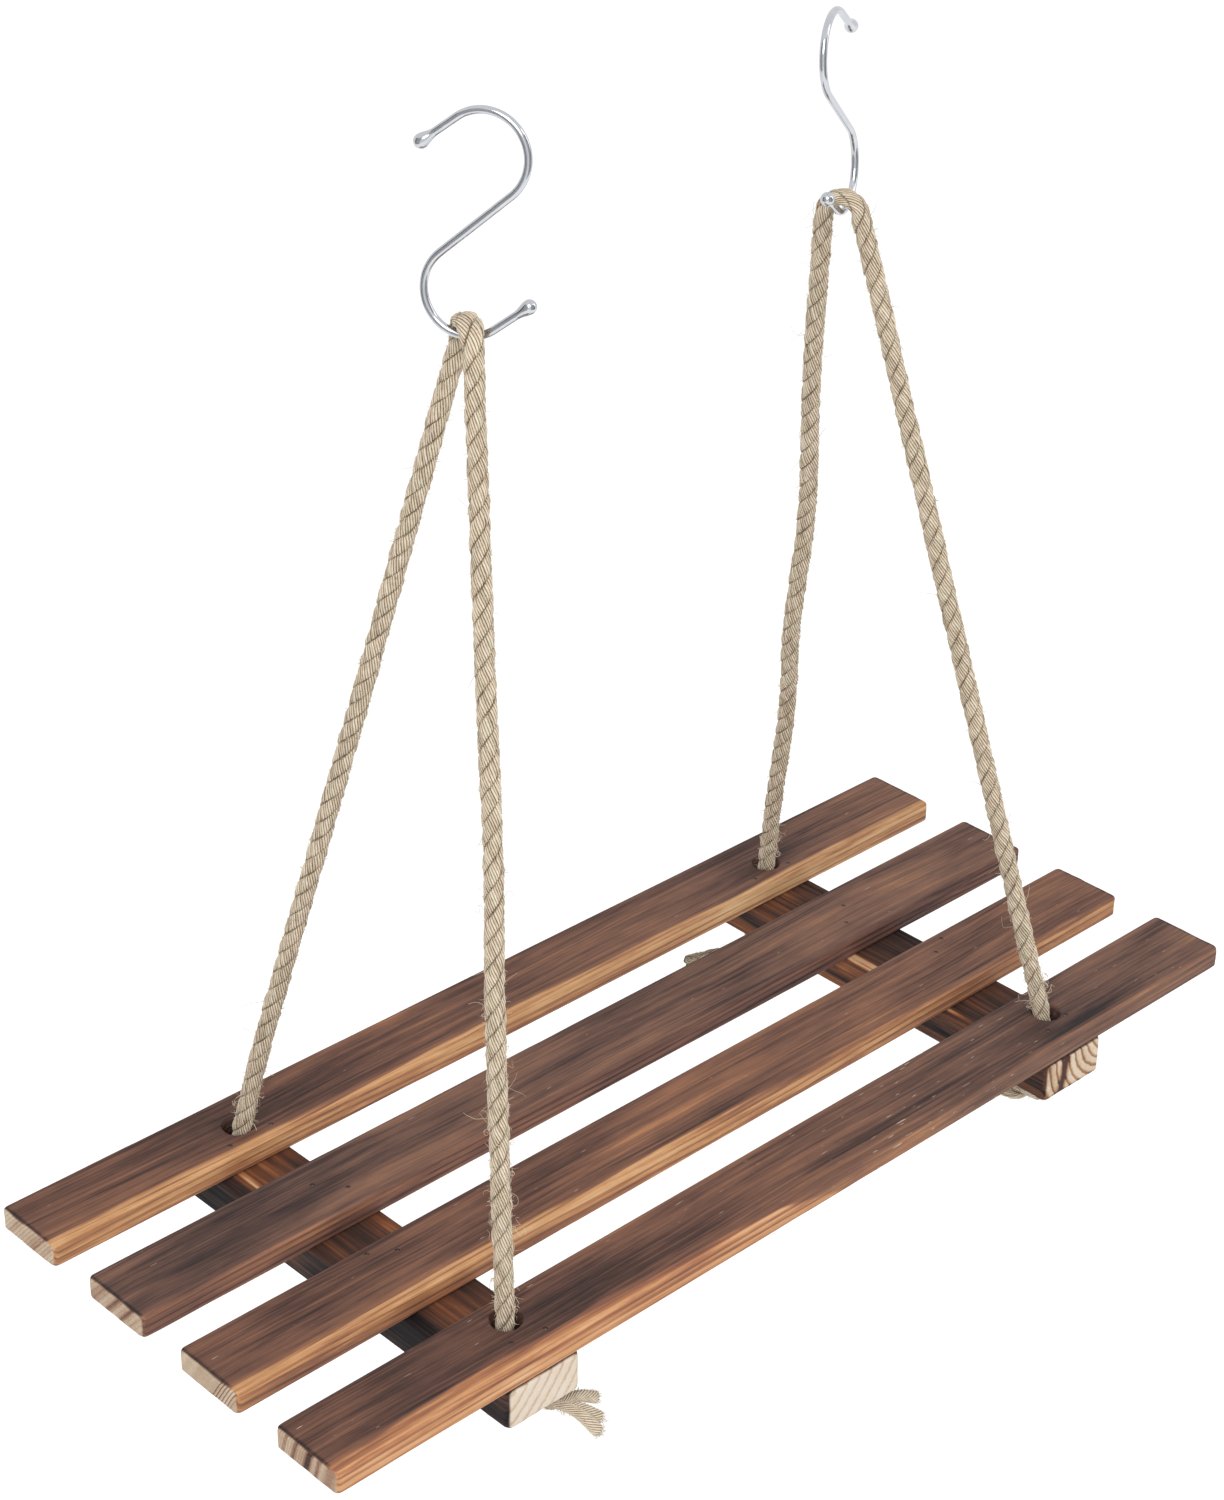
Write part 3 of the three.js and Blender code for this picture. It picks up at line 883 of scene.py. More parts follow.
def drilled(obj, cutters):
    """Cuts closed meshes out of an object and deletes them."""
    for cutter in cutters:
        cut = obj.modifiers.new("cut", "BOOLEAN")
        cut.operation = "DIFFERENCE"
        cut.solver = "MANIFOLD"
        cut.object = cutter
    graph = bpy.context.evaluated_depsgraph_get()
    data = bpy.data.meshes.new_from_object(obj.evaluated_get(graph))
    obj.modifiers.clear()
    old = obj.data
    obj.data = data
    bpy.data.meshes.remove(old)
    for cutter in cutters:
        bpy.data.meshes.remove(cutter.data)


def lathe(name, centre, profile, sides, wobble=0.0, seed=0):
    """A closed turned mesh about a vertical line, from a profile of (radius, height) that starts and
    ends on it."""
    angle = np.linspace(0, 2 * math.pi, sides, endpoint=False)
    rings = []
    for radius, height in profile[1:-1]:
        around = np.column_stack([np.cos(angle), np.sin(angle), np.full(sides, height)])
        swell = 1 + wobble * noise(around * [1.7, 1.7, 300], seed)
        around[:, :2] *= radius * swell[:, None]
        rings.append(around)
    ends = [[0, 0, profile[0][1]], [0, 0, profile[-1][1]]]
    vertices = np.vstack(rings + [ends]) + centre
    return make_mesh(name, vertices, tube_faces(len(rings), sides))


def hole_cutter(centre, top, bottom, seed):
    """A drilled bore whose rim has worn a little where it meets the faces."""
    worn = HOLE_RADIUS + BORE_RIM
    profile = (
        (0, bottom - BORE_OVERRUN), (worn, bottom - BORE_OVERRUN), (worn, bottom),
        (HOLE_RADIUS, bottom + BORE_RIM), (HOLE_RADIUS, top - BORE_RIM),
        (worn, top), (worn, top + BORE_OVERRUN), (0, top + BORE_OVERRUN),
    )
    return lathe("hole_cutter", centre, profile, BORE_SIDES, BORE_WOBBLE_SHARE, seed)


def brad_cutter(centre):
    """A pocket for a brad, a little wider and deeper than the brad is."""
    head = BRAD_HEAD_RADIUS + BRAD_CLEARANCE
    shank = BRAD_SHANK_RADIUS + BRAD_CLEARANCE
    deep = -BRAD_SINK - BRAD_HEAD_THICKNESS - BRAD_CLEARANCE
    low = -BRAD_LENGTH - BRAD_SINK - BRAD_CLEARANCE
    profile = (
        (0, low), (shank, low + BRAD_POINT_LENGTH), (shank, deep),
        (head, deep), (head, BORE_OVERRUN), (0, BORE_OVERRUN),
    )
    return lathe("brad_cutter", centre, profile, BRAD_BORE_SIDES)


holes = [(side, end, hole_centre(side, end)) for side in SIDES for end in ENDS]

brads = []
for side in SIDES:
    for index in range(SLAT_COUNT):
        for letter, (share_x, share_y) in zip("ab", BRAD_SHARES[index]):
            x = SIGN[side] * (BAR_SPACING / 2 - share_x * SLAT_WIDTH)
            place = np.array([x, slat_y(index) + share_y * SLAT_WIDTH, 0])
            brads.append((f"brad_{side}_{index + 1}{letter}", side, index, place))


def grain_wave(board, where):
    """How far the fibres stray sideways, so that no streak is quite straight."""
    shift = GRAIN_SWAYS[0] * noise(where * [13, 16, 0] + 9, board.seed + 40)
    shift += GRAIN_SWAYS[1] * noise(where * [42, 60, 0] + 2, board.seed + 41)
    return shift[:, None] * [0, 1, 0]


def finish_board(board, cutters, looks_of, material):
    """Makes a board, drills it, and gives it the values that its shader reads."""
    surface, faces = board.shape()
    obj = make_mesh(board.name, board.to_frame(surface), faces)
    drilled(obj, cutters)
    data = obj.data
    where = np.empty(len(data.vertices) * 3)
    data.vertices.foreach_get("co", where)
    where = board.to_board(where.reshape(-1, 3) - LOWERED)
    offset = np.array([board.seed * 0.61, board.seed * 0.37, 0])
    set_attributes(obj, {
        "grain": where + offset + grain_wave(board, where),
        "ring": board.rings(where + [0, 0, board.size[2] / 2]),
        **looks_of(board, where),
    })
    data.shade_smooth()
    data.set_sharp_from_angle(angle=BOARD_CREASE)
    data.materials.clear()
    data.materials.append(material)
    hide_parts(board.name)
    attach(obj, "deck")


# How each part of a board looks. Burn: 0 is bare wood and 1 is charcoal. An edge or a face has the two
# distances from it between which its look comes or goes

SAWN_EDGE = (0.0003, 0.0010)
WALL_DEPTH = (0.0005, 0.0009)
WALL_INSET = (0.0018, 0.0024)
WALL_BURN = 0.86
BARE_WAVES = (0.0014, 0.0004)
BARE_FRONT_EDGE = (-0.0008, 0.0012)
BARE_REAR_EDGE = (-0.0035, -0.0015)
UNDERSIDE_EDGE = (0.0002, 0.0012)
LOWER_SIDE_DEPTH = (0.003, 0.008)
FRONT_FACE_DEPTH = (0.0006, 0.0022)
FRONT_FACE_EDGE = (0.0008, 0.002)
RIM_EDGE = (0.0012, 0.0026)
RIM_BURN = 0.2
END_UNDERSIDE_EDGE = (0.0003, 0.0014)
END_LINE_FADE = 0.001
RIGHT_END_PLACES = (0.14, 0.2)
OLIVE_PLACES = (-0.1, 0.15)


def sawn_end(board, where):
    """1 on the two ends of a board, and 0 on its long faces."""
    return near(board.size[0] / 2 - np.abs(where[:, 0]), *SAWN_EDGE)


def hole_wall(board, where):
    """1 on the walls of the holes, and 0 on the outer faces."""
    depth = np.minimum(-where[:, 2], board.size[2] + where[:, 2])
    from_side = board.size[1] / 2 - np.abs(where[:, 1])
    inside = smoothstep(depth, *WALL_DEPTH) * smoothstep(from_side, *WALL_INSET)
    return inside * (1 - sawn_end(board, where))


def bare_wood(board, where):
    """1 on a slat's side faces and the strip of its top that the flame left bare, and 0 elsewhere."""
    x, y, z = where.T
    wave = BARE_WAVES[0] * noise(where * [16, 0, 0] + board.seed, 11)
    wave += BARE_WAVES[1] * noise(where * [70, 0, 0], 12)
    reach = np.interp(x, *zip(*BARE_REACH[board.name])) + wave
    front = near(SLAT_WIDTH / 2 + y + z, *[reach + away for away in BARE_FRONT_EDGE])
    rear = near(SLAT_WIDTH / 2 - y + z, *[wave + away for away in BARE_REAR_EDGE])
    return np.maximum(front, rear) * (1 - near(SLAT_THICKNESS + z, *UNDERSIDE_EDGE))


def slat_burn(board, where, bare):
    x, y, z = where.T
    upper, lower = FACE_BURN[board.name](x)
    side = upper + (lower - upper) * smoothstep(-z, *LOWER_SIDE_DEPTH)
    side += 0.09 * noise(where * [14, 0, 130] + 2, board.seed + 21)
    burnt = 0.7 + 0.1 * noise(where * [11, 45, 0] + 7, board.seed + 20)
    front_face = smoothstep(-z, *FRONT_FACE_DEPTH) * near(SLAT_WIDTH / 2 + y, *FRONT_FACE_EDGE)
    burnt -= FRONT_LIGHTER[board.name](x) * front_face
    burnt -= RIGHT_END_LIGHTER[board.name] * smoothstep(x, *RIGHT_END_PLACES)
    burn = side * bare + burnt * (1 - bare)
    for patch_x, patch_y, length, width, amount in BURNT_PATCHES[board.name]:
        burn += amount * bell(x, patch_x, length) * bell(y, patch_y, width)
    rim = near(SLAT_LENGTH / 2 - np.abs(x), *RIM_EDGE) * (1 - sawn_end(board, where))
    return burn + RIM_BURN * rim * (1 - bare)


def slat_end(board, where):
    """Tone, rings and the darkness of the rings on a slat's sawn ends."""
    x, y, z = where.T
    slant, tone, bands = SLAT_ENDS[board.name]
    across = y + slant * (z + SLAT_THICKNESS / 2)
    tone = tone + 0.4 * near(SLAT_THICKNESS + z, *END_UNDERSIDE_EDGE)
    tone += 0.14 * noise(np.column_stack([x, across * 320, 0 * z]), board.seed + 8)
    for middle, width, amount in bands:
        tone += amount * bell(across, middle, width)
    spacing, lined, start, end = SLAT_END_LINES[board.name]
    shown = smoothstep(across, start, start + END_LINE_FADE) * near(across, end - END_LINE_FADE, end)
    return tone, across / spacing, lined * shown


def slat_values(board, where):
    x = where[:, 0]
    bare = bare_wood(board, where)
    wall = hole_wall(board, where)
    end_tone, end_ring, end_lined = slat_end(board, where)
    left, right = SLAT_OLIVE[board.name]
    return {
        "burn": slat_burn(board, where, bare) * (1 - wall) + WALL_BURN * wall,
        "lined": 0.07 + 0.12 * bare * (1 - wall),
        "fleck": SLAT_FLECKS[board.name](x) * (1 - bare) * (1 - wall) - bare - wall,
        "peach": SLAT_PEACH[board.name] * bare,
        "olive": left + (right - left) * smoothstep(x, *OLIVE_PLACES),
        "end": sawn_end(board, where),
        "end_tone": end_tone,
        "end_ring": end_ring,
        "end_lined": end_lined,
    }


# How far the bare wood reaches from a slat's upper front edge over its top, by the place along the slat.
# Below zero it ends that far down the front face
BARE_REACH = {
    "slat_1": ((-0.25, 0.0035), (-0.1, 0.0032), (0.1, 0.003), (0.25, 0.0034)),
    "slat_2": ((-0.25, 0.0022), (-0.12, 0.0012), (0, -0.0005), (0.25, -0.0005)),
    "slat_3": ((-0.25, 0.0042), (-0.1, 0.0034), (0.1, 0.0022), (0.25, 0.001)),
    "slat_4": (
        (-0.25, 0.0055), (-0.167, 0.0076), (-0.144, 0.0060), (-0.118, 0.0078), (-0.095, 0.0052),
        (-0.059, 0.0027), (-0.028, 0.0003), (0.012, -0.011), (0.25, -0.012),
    ),
}

# How burnt the bare side faces are, above and below
FACE_BURN = {
    "slat_1": lambda x: (0.28, 0.38),
    "slat_2": lambda x: (0.51 + 0.14 * smoothstep(x, -0.15, 0.05), 0.6 + 0.12 * smoothstep(x, -0.2, 0.1)),
    "slat_3": lambda x: (0.36 + 0.08 * smoothstep(x, 0.06, 0.12), 0.46),
    "slat_4": lambda x: (0.35, 0.28),
}

# How much less the charred part of the front face is burnt
FRONT_LIGHTER = {
    "slat_1": lambda x: 0.14,
    "slat_2": lambda x: 0.12,
    "slat_3": lambda x: 0.14,
    "slat_4": lambda x: 0.18 - 0.22 * smoothstep(x, 0.05, 0.1),
}

# Patches of the slats: where they are, how long and wide, and how much more they are burnt
BURNT_PATCHES = {
    "slat_1": (
        (-0.146, 0.002, 0.030, 0.012, 0.12), (0.153, 0, 0.030, 0.012, 0.14),
        (-0.21, 0.004, 0.04, 0.014, 0.07), (0.205, -0.017, 0.06, 0.010, -0.12),
    ),
    "slat_2": (
        (-0.06, 0.002, 0.09, 0.006, 0.1), (-0.2, 0.004, 0.07, 0.014, 0.06),
        (0.2, 0, 0.06, 0.012, -0.06),
    ),
    "slat_3": (
        (-0.2, 0.006, 0.05, 0.01, 0.04), (-0.1, -0.006, 0.07, 0.010, -0.1),
        (0.2, -0.004, 0.06, 0.014, -0.1),
    ),
    "slat_4": (
        (0.165, -0.013, 0.045, 0.0035, 0.3), (-0.12, 0, 0.04, 0.01, 0.1),
        (0.03, -0.008, 0.05, 0.003, 0.14), (0.16, -0.019, 0.12, 0.003, -0.1),
    ),
}

# How far the bare wood's tone goes to peach
SLAT_PEACH = {"slat_1": 0, "slat_2": 0.5, "slat_3": 0, "slat_4": 0.5}

# How far each slat's tone goes to olive, at its left and its right end
SLAT_OLIVE = {"slat_1": (0, 0.6), "slat_2": (0.9, 0.9), "slat_3": (0, 0.3), "slat_4": (0, 1.0)}

# How much less the slats are burnt near their right ends
RIGHT_END_LIGHTER = {"slat_1": 0.06, "slat_2": 0.035, "slat_3": 0.03, "slat_4": 0.05}

# Sawn ends of the slats: the slant of their bands, their tone, and (middle, width, how much darker)
SLAT_ENDS = {
    "slat_1": (0.9, 0.32, ((-0.0042, 0.0030, 0.28), (-0.0066, 0.0007, 0.3))),
    "slat_2": (0.9, 0.36, ((0.0120, 0.0034, 0.2), (0.0018, 0.0019, 0.5), (-0.0067, 0.0016, 0.42))),
    "slat_3": (0.6, 0.34, ((-0.0036, 0.0020, 0.12),)),
    "slat_4": (0.31, 0.34, (
        (0.0120, 0.0006, 0.3), (0.0065, 0.0011, 0.5), (-0.0010, 0.0015, 0.95), (-0.0065, 0.0008, 0.4),
        (-0.0125, 0.0036, 0.26),
    )),
}

# Fine lines on them: their spacing, how dark they are, and from where to where they run
SLAT_END_LINES = {
    "slat_1": (0.0021, 0.18, -0.030, 0.030),
    "slat_2": (0.0029, 0.12, -0.030, 0.030),
    "slat_3": (0.0017, 0.6, -0.0160, -0.0045),
    "slat_4": (0.0013, 0.16, 0.0, 0.030),
}

# How many pale flecks the charred wood has
SLAT_FLECKS = {
    "slat_1": lambda x: 0.12,
    "slat_2": lambda x: 0.18,
    "slat_3": lambda x: 0.22,
    "slat_4": lambda x: 0.22 + 0.16 * smoothstep(x, -0.05, 0.05) - 0.1 * smoothstep(x, 0.1, 0.15),
}


# Sawn ends of the bars: their tone, how dark their rings are, and how much darker they get in a slanted
# band and along their bottom and left edges
BAR_ENDS = {"crossbar_left": (0.14, 0.3, 0), "crossbar_right": (0.3, 0.5, 1)}

# Edges of the bars' faces, the lines on their flat faces, and the darker band and edges on their ends, by
# their distance from an edge or the middle
BAR_FACE_EDGE = (0.0004, 0.002)
BAR_SIDE_EDGE = (0.0008, 0.004)
LIGHT_LINE_INSET = 0.0062
LIGHT_LINE_WIDTH = 0.0016
LIGHT_LINE_SLANT = 0.05
DARK_LINE_INSET = 0.0015
DARK_LINE_WIDTH = 0.003
DARK_BAND_PLACE = 0.0051
DARK_BAND_WIDTH = 0.0022
DARK_BAND_SLANT = 0.16
DARKER_BOTTOM_EDGE = (0.0006, 0.0024)
DARKER_SIDE_EDGE = (0.0003, 0.0012)


def bar_burn(board, where, flat_faces, left_face):
    """The left bar is charred on its left face, with a light line and a dark edge on its flat faces. The
    right bar has light streaks there."""
    x, y, _ = where.T
    half_width = BAR_WIDTH / 2
    burn = 0.62 + 0.17 * noise(where * [26, 70, 0] + 1, board.seed + 30)
    if board.name == "crossbar_left":
        burn += (0.24 + 0.3 * noise(where * [30, 0, 90] + 6, board.seed + 34)) * left_face
        lit = smoothstep(noise(where * [34, 0, 0] + 4, board.seed + 33), -0.3, 0.3)
        lit *= bell(y + LIGHT_LINE_SLANT * x, half_width - LIGHT_LINE_INSET, LIGHT_LINE_WIDTH)
        burn += 0.3 * bell(y, half_width - DARK_LINE_INSET, DARK_LINE_WIDTH) * flat_faces
    else:
        burn += 0.09 - 0.16 * left_face
        lit = smoothstep(noise(where * [8, 130, 0] + 4, board.seed + 33), 0.5, 0.75)
    return burn - 0.42 * lit * flat_faces


def bar_values(board, where):
    _, y, z = where.T
    flat_faces = near(np.minimum(-z, BAR_THICKNESS + z), *BAR_FACE_EDGE)
    left_face = near(BAR_WIDTH / 2 - y, *BAR_SIDE_EDGE) * (1 - flat_faces)
    wall = hole_wall(board, where)
    tone, lined, band_darkening = BAR_ENDS[board.name]
    # The right bar's ends get darker in a slanted band and along their bottom edges and the edges at their
    # left faces.
    in_dark_band = bell(y + DARK_BAND_SLANT * z, DARK_BAND_PLACE, DARK_BAND_WIDTH)
    bottom = near(BAR_THICKNESS + z, *DARKER_BOTTOM_EDGE)
    edge = np.maximum(bottom, near(BAR_WIDTH / 2 - y, *DARKER_SIDE_EDGE))
    ring = board.rings(where + [0, 0, BAR_THICKNESS / 2])
    uneven = noise(np.column_stack([ring, 0 * ring, 0 * ring]) + 0.5, board.seed + 36)
    return {
        "burn": bar_burn(board, where, flat_faces, left_face) * (1 - wall) + WALL_BURN * wall,
        "lined": 0.1 + 0.3 * left_face * (board.name == "crossbar_right"),
        "fleck": np.full(len(where), -1.0),
        "peach": np.zeros(len(where)),
        "olive": np.zeros(len(where)),
        "end": sawn_end(board, where),
        "end_tone": tone + band_darkening * (0.9 * in_dark_band + 0.5 * edge + 0.2 * uneven),
        "end_ring": ring,
        "end_lined": np.full(len(where), lined),
    }


slat_material = slat_look()
bar_material = bar_look()

# Where each board's pith lies beside and above its middle, how wide its rings are and how far they sway
SLAT_PITH = ((0.016, -0.034), (0.004, -0.052), (0.02, -0.03), (-0.006, 0.046))
SLAT_RINGS = (0.0023, 0.0027, 0.0021, 0.003)
BAR_PITH = {"left": (0.07, 0.06), "right": (-0.021, 0.011)}
BAR_RINGS = {"left": 0.0048, "right": 0.0041}
BAR_SWAY_SHARES = {"left": 0.25, "right": 0.8}

for index in range(SLAT_COUNT):
    board = Board(
        name=f"slat_{index + 1}",
        size=np.array([SLAT_LENGTH, SLAT_WIDTH, SLAT_THICKNESS]),
        corner=SLAT_CORNER_RADIUS,
        edge=SLAT_EDGE_ROUND,
        place=(0, slat_y(index), 0),
        crosswise=False,
        seed=3 + 7 * index,
        pith=SLAT_PITH[index],
        ring_width=SLAT_RINGS[index],
        sway_share=1.0,
    )
    cutters = [
        hole_cutter(centre, 0, -SLAT_THICKNESS, index)
        for _, end, centre in holes if index == outer_slat(end)
    ]
    cutters += [brad_cutter(place) for _, _, slat, place in brads if slat == index]
    finish_board(board, cutters, slat_values, slat_material)

for side in SIDES:
    board = Board(
        name=f"crossbar_{side}",
        size=np.array([BAR_LENGTH, BAR_WIDTH, BAR_THICKNESS]),
        corner=BAR_CORNER_RADIUS,
        edge=BAR_EDGE_ROUND,
        place=(SIGN[side] * BAR_SPACING / 2, 0, BAR_TOP),
        crosswise=True,
        seed=41 + 6 * SIGN[side],
        pith=BAR_PITH[side],
        ring_width=BAR_RINGS[side],
        sway_share=BAR_SWAY_SHARES[side],
    )
    cutters = [hole_cutter(centre, BAR_TOP, BAR_BOTTOM, 9) for where, _, centre in holes if where == side]
    cutters += [brad_cutter(place) for _, where, _, place in brads if where == side]
    finish_board(board, cutters, bar_values, bar_material)

BRAD_SIDES = 20
BRAD_CREASE = math.radians(40)
BRAD_DOME = 0.25 * BRAD_HEAD_THICKNESS
BRAD_PROFILE = (
    (0, -BRAD_LENGTH), (0.5 * BRAD_SHANK_RADIUS, 0.5 * BRAD_POINT_LENGTH - BRAD_LENGTH),
    (BRAD_SHANK_RADIUS, BRAD_POINT_LENGTH - BRAD_LENGTH), (BRAD_SHANK_RADIUS, -BRAD_HEAD_THICKNESS),
    (BRAD_HEAD_RADIUS, -0.8 * BRAD_HEAD_THICKNESS), (BRAD_HEAD_RADIUS, -1.2 * BRAD_DOME),
    (0.9 * BRAD_HEAD_RADIUS, -0.5 * BRAD_DOME), (0.5 * BRAD_HEAD_RADIUS, -0.1 * BRAD_DOME), (0, 0),
)

brad_material = brad_look()

for name, _, _, place in brads:
    brad = lathe(f"{name}_detailed", place - [0, 0, BRAD_SINK], BRAD_PROFILE, BRAD_SIDES)
    brad.data.set_sharp_from_angle(angle=BRAD_CREASE)
    brad.data.materials.append(brad_material)
    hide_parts(name)
    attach(brad, "deck")


# Hooks: round wire along two bends, with a ball at each tip

HOOK_SIDES = 28
HOOK_STEP = 0.0005
BEND_STEPS = 90
STRAIGHT_STEPS = 20
BALL_STEPS = 8
WIRE_UNEVEN_SHARE = 0.012


def hook_half():
    """From the tip of the upper bend to the middle of the S, in the hook's own plane."""
    mouth = math.radians(HOOK_MOUTH_ANGLE)
    touch = -math.pi / 2 + math.acos(HOOK_BEND_RADIUS / HOOK_BEND_OFFSET)
    angle = np.linspace(mouth, touch, BEND_STEPS)
    bend = np.column_stack([
        HOOK_BEND_RADIUS * np.cos(angle),
        np.zeros(len(angle)),
        HOOK_BEND_OFFSET + HOOK_BEND_RADIUS * np.sin(angle),
    ])
    tip_way = np.array([-math.sin(mouth), 0, math.cos(mouth)])
    tip = bend[0] + tip_way * np.linspace(HOOK_TIP_LENGTH, 0, STRAIGHT_STEPS, endpoint=False)[:, None]
    shank = bend[-1] * np.linspace(1, 0, STRAIGHT_STEPS)[1:, None]
    return np.vstack([tip, bend, shank])


def hook_line():
    half = hook_half()
    return even_points(np.vstack([half, -half[-2::-1]]), HOOK_STEP) + [0, 0, HOOK_SEAT_SPAN / 2]


def add_hook(side, material):
    line = hook_line()
    ball = HOOK_BALL_RADIUS
    out = ball * np.cos(np.linspace(0, math.pi / 2, BALL_STEPS, endpoint=False))[:, None]
    start = line[0] + unit(line[0] - line[1]) * out
    end = line[-1] + unit(line[-1] - line[-2]) * out[::-1]
    line = np.vstack([start, line, end])
    along = distance_along(line)
    from_tip = np.minimum(along, along[-1] - along)
    ball_radius = np.sqrt(np.clip(ball ** 2 - (from_tip - ball) ** 2, 0, None))
    neck = WIRE_RADIUS + (ball - WIRE_RADIUS) * near(from_tip, ball, ball + HOOK_NECK_LENGTH)
    radius = np.where(from_tip < ball, ball_radius, neck)
    uneven = WIRE_UNEVEN_SHARE * noise_along(along, 420, SIGN[side] + 5)
    radius = np.maximum(radius, 1e-5) * (1 + uneven)
    _, normal, binormal = carried_frames(line)
    angle = np.linspace(0, 2 * math.pi, HOOK_SIDES, endpoint=False)
    rings = line[:, None] + ring_ways(normal, binormal, angle) * radius[:, None, None]
    vertices = with_ends(rings) @ hook_turn(side).T + hook_seat(side)
    obj = make_mesh(f"s_hook_{side}", vertices, tube_faces(len(line), HOOK_SIDES), material)
    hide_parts(f"hook_{side}")
    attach(obj, "hooks")


steel_material = steel_look()
for side in SIDES:
    add_hook(side, steel_material)


# Ropes: three strands laid round each other, each with its yarns on its outer side, and loose fibres

class Threads:
    """Closed tubes gathered for one mesh."""

    def __init__(self):
        self.vertices = []
        self.faces = []
        self.lay = []
        # Brightness of the jute at each place: the yarns' own tone, with painted shade between the yarns
        # and the strands
        self.height = []
        self.count = 0

    def add(self, rings, lay, height):
        """Adds a tube by its places, of which each ring has one at each side, and the values at them."""
        steps, sides = rings.shape[:2]
        self.faces += tube_faces(steps, sides, self.count)
        self.vertices.append(with_ends(rings))
        self.lay.append(with_ends(lay))
        self.height.append(with_ends(height))
        self.count += steps * sides + 2

    def mesh(self, name, material):
        obj = make_mesh(name, np.vstack(self.vertices), self.faces, material)
        set_attributes(obj, {"lay": np.vstack(self.lay), "height": np.concatenate(self.height)})
        return obj


def yarn_ridges(yarns, sides):
    """How far each of a strand's sides stands out, from 0 between two yarns to 1, and its yarn's number."""
    turned = np.arange(sides) * yarns / sides
    return np.abs(np.cos(math.pi * turned)) ** 0.8, np.floor(turned + 0.5).astype(np.int64) % yarns


def lay_values(along, first_yarn, depth):
    """Where the jute's shader is on a strand: millimetres along it, yarns round it, and depth in it."""
    rings, sides = depth.shape
    millimetres = np.repeat(along[:, None] * 1000, sides, axis=1)
    yarns = np.tile(np.arange(sides) * YARNS / sides + first_yarn, (rings, 1))
    return np.stack([millimetres, yarns, depth], axis=-1)


class Rope:
    """One rope's middle line with all that its strands need to know at each ring."""

    def __init__(self, side):
        self.line = rope_line(side)
        self.along = distance_along(self.line)
        self.ways, self.normal, self.binormal = carried_frames(self.line)
        thin = smoothstep(-self.line[:, 2], 0, THINNING_DEPTH)
        self.radius = ROPE_RADIUS + (ROPE_KNOT_RADIUS - ROPE_RADIUS) * thin
        self.crown = int(np.argmax(self.line[:, 2]))
        self.seed = 50 + 10 * SIGN[side]
        centre, _, _ = saddle_frame(side)
        from_centre = self.line - centre
        from_centre -= self.ways * np.sum(from_centre * self.ways, axis=1, keepdims=True)
        self.out = unit(from_centre)
        self.level = np.cross(self.ways, self.out)
        from_crown = self.along - self.along[self.crown]
        self.pressed = bell(from_crown, 0, PRESSED_LENGTH)
        up = math.atan2(self.binormal[self.crown, 2], self.normal[self.crown, 2])
        wobble = 0.3 * noise_along(self.along, 30, self.seed)
        self.turn = up + 2 * math.pi * from_crown / LAY_LENGTH + wobble

    def squeeze(self, offsets, part):
        """Offsets from the middle line, made flat and wide where the rope bears on its hook."""
        pressed = self.pressed[part][:, None, None]
        out, level = self.out[part][:, None], self.level[part][:, None]
        outward = np.sum(offsets * out, axis=-1, keepdims=True)
        sideways = np.sum(offsets * level, axis=-1, keepdims=True)
        offsets = offsets - PRESSED_THINNER * pressed * outward * out
        return offsets + PRESSED_WIDER * pressed * sideways * level

    def around(self, angle, part):
        return ring_ways(self.normal[part], self.binormal[part], angle)


def section_place(share):
    """Angle round the rope, depth, and how far in the groove, on one strand's outline. The share is that of
    the way round it: first along its outer arc, then down one inner wall and up the other."""
    half = math.pi / STRANDS - STRAND_SEAM
    share = np.mod(share, 1)
    on_arc = share < ARC_SHARE
    inside = (share - ARC_SHARE) / (1 - ARC_SHARE)
    angle = np.where(on_arc, half * (2 * share / ARC_SHARE - 1), np.where(inside < 0.5, half, -half))
    depth = np.where(on_arc, 1, 1 - (1 - CORE_SHARE) * (1 - np.abs(2 * inside - 1)))
    groove = np.where(on_arc, np.abs(angle / half) ** GROOVE_POWER, 1)
    return angle, depth, groove


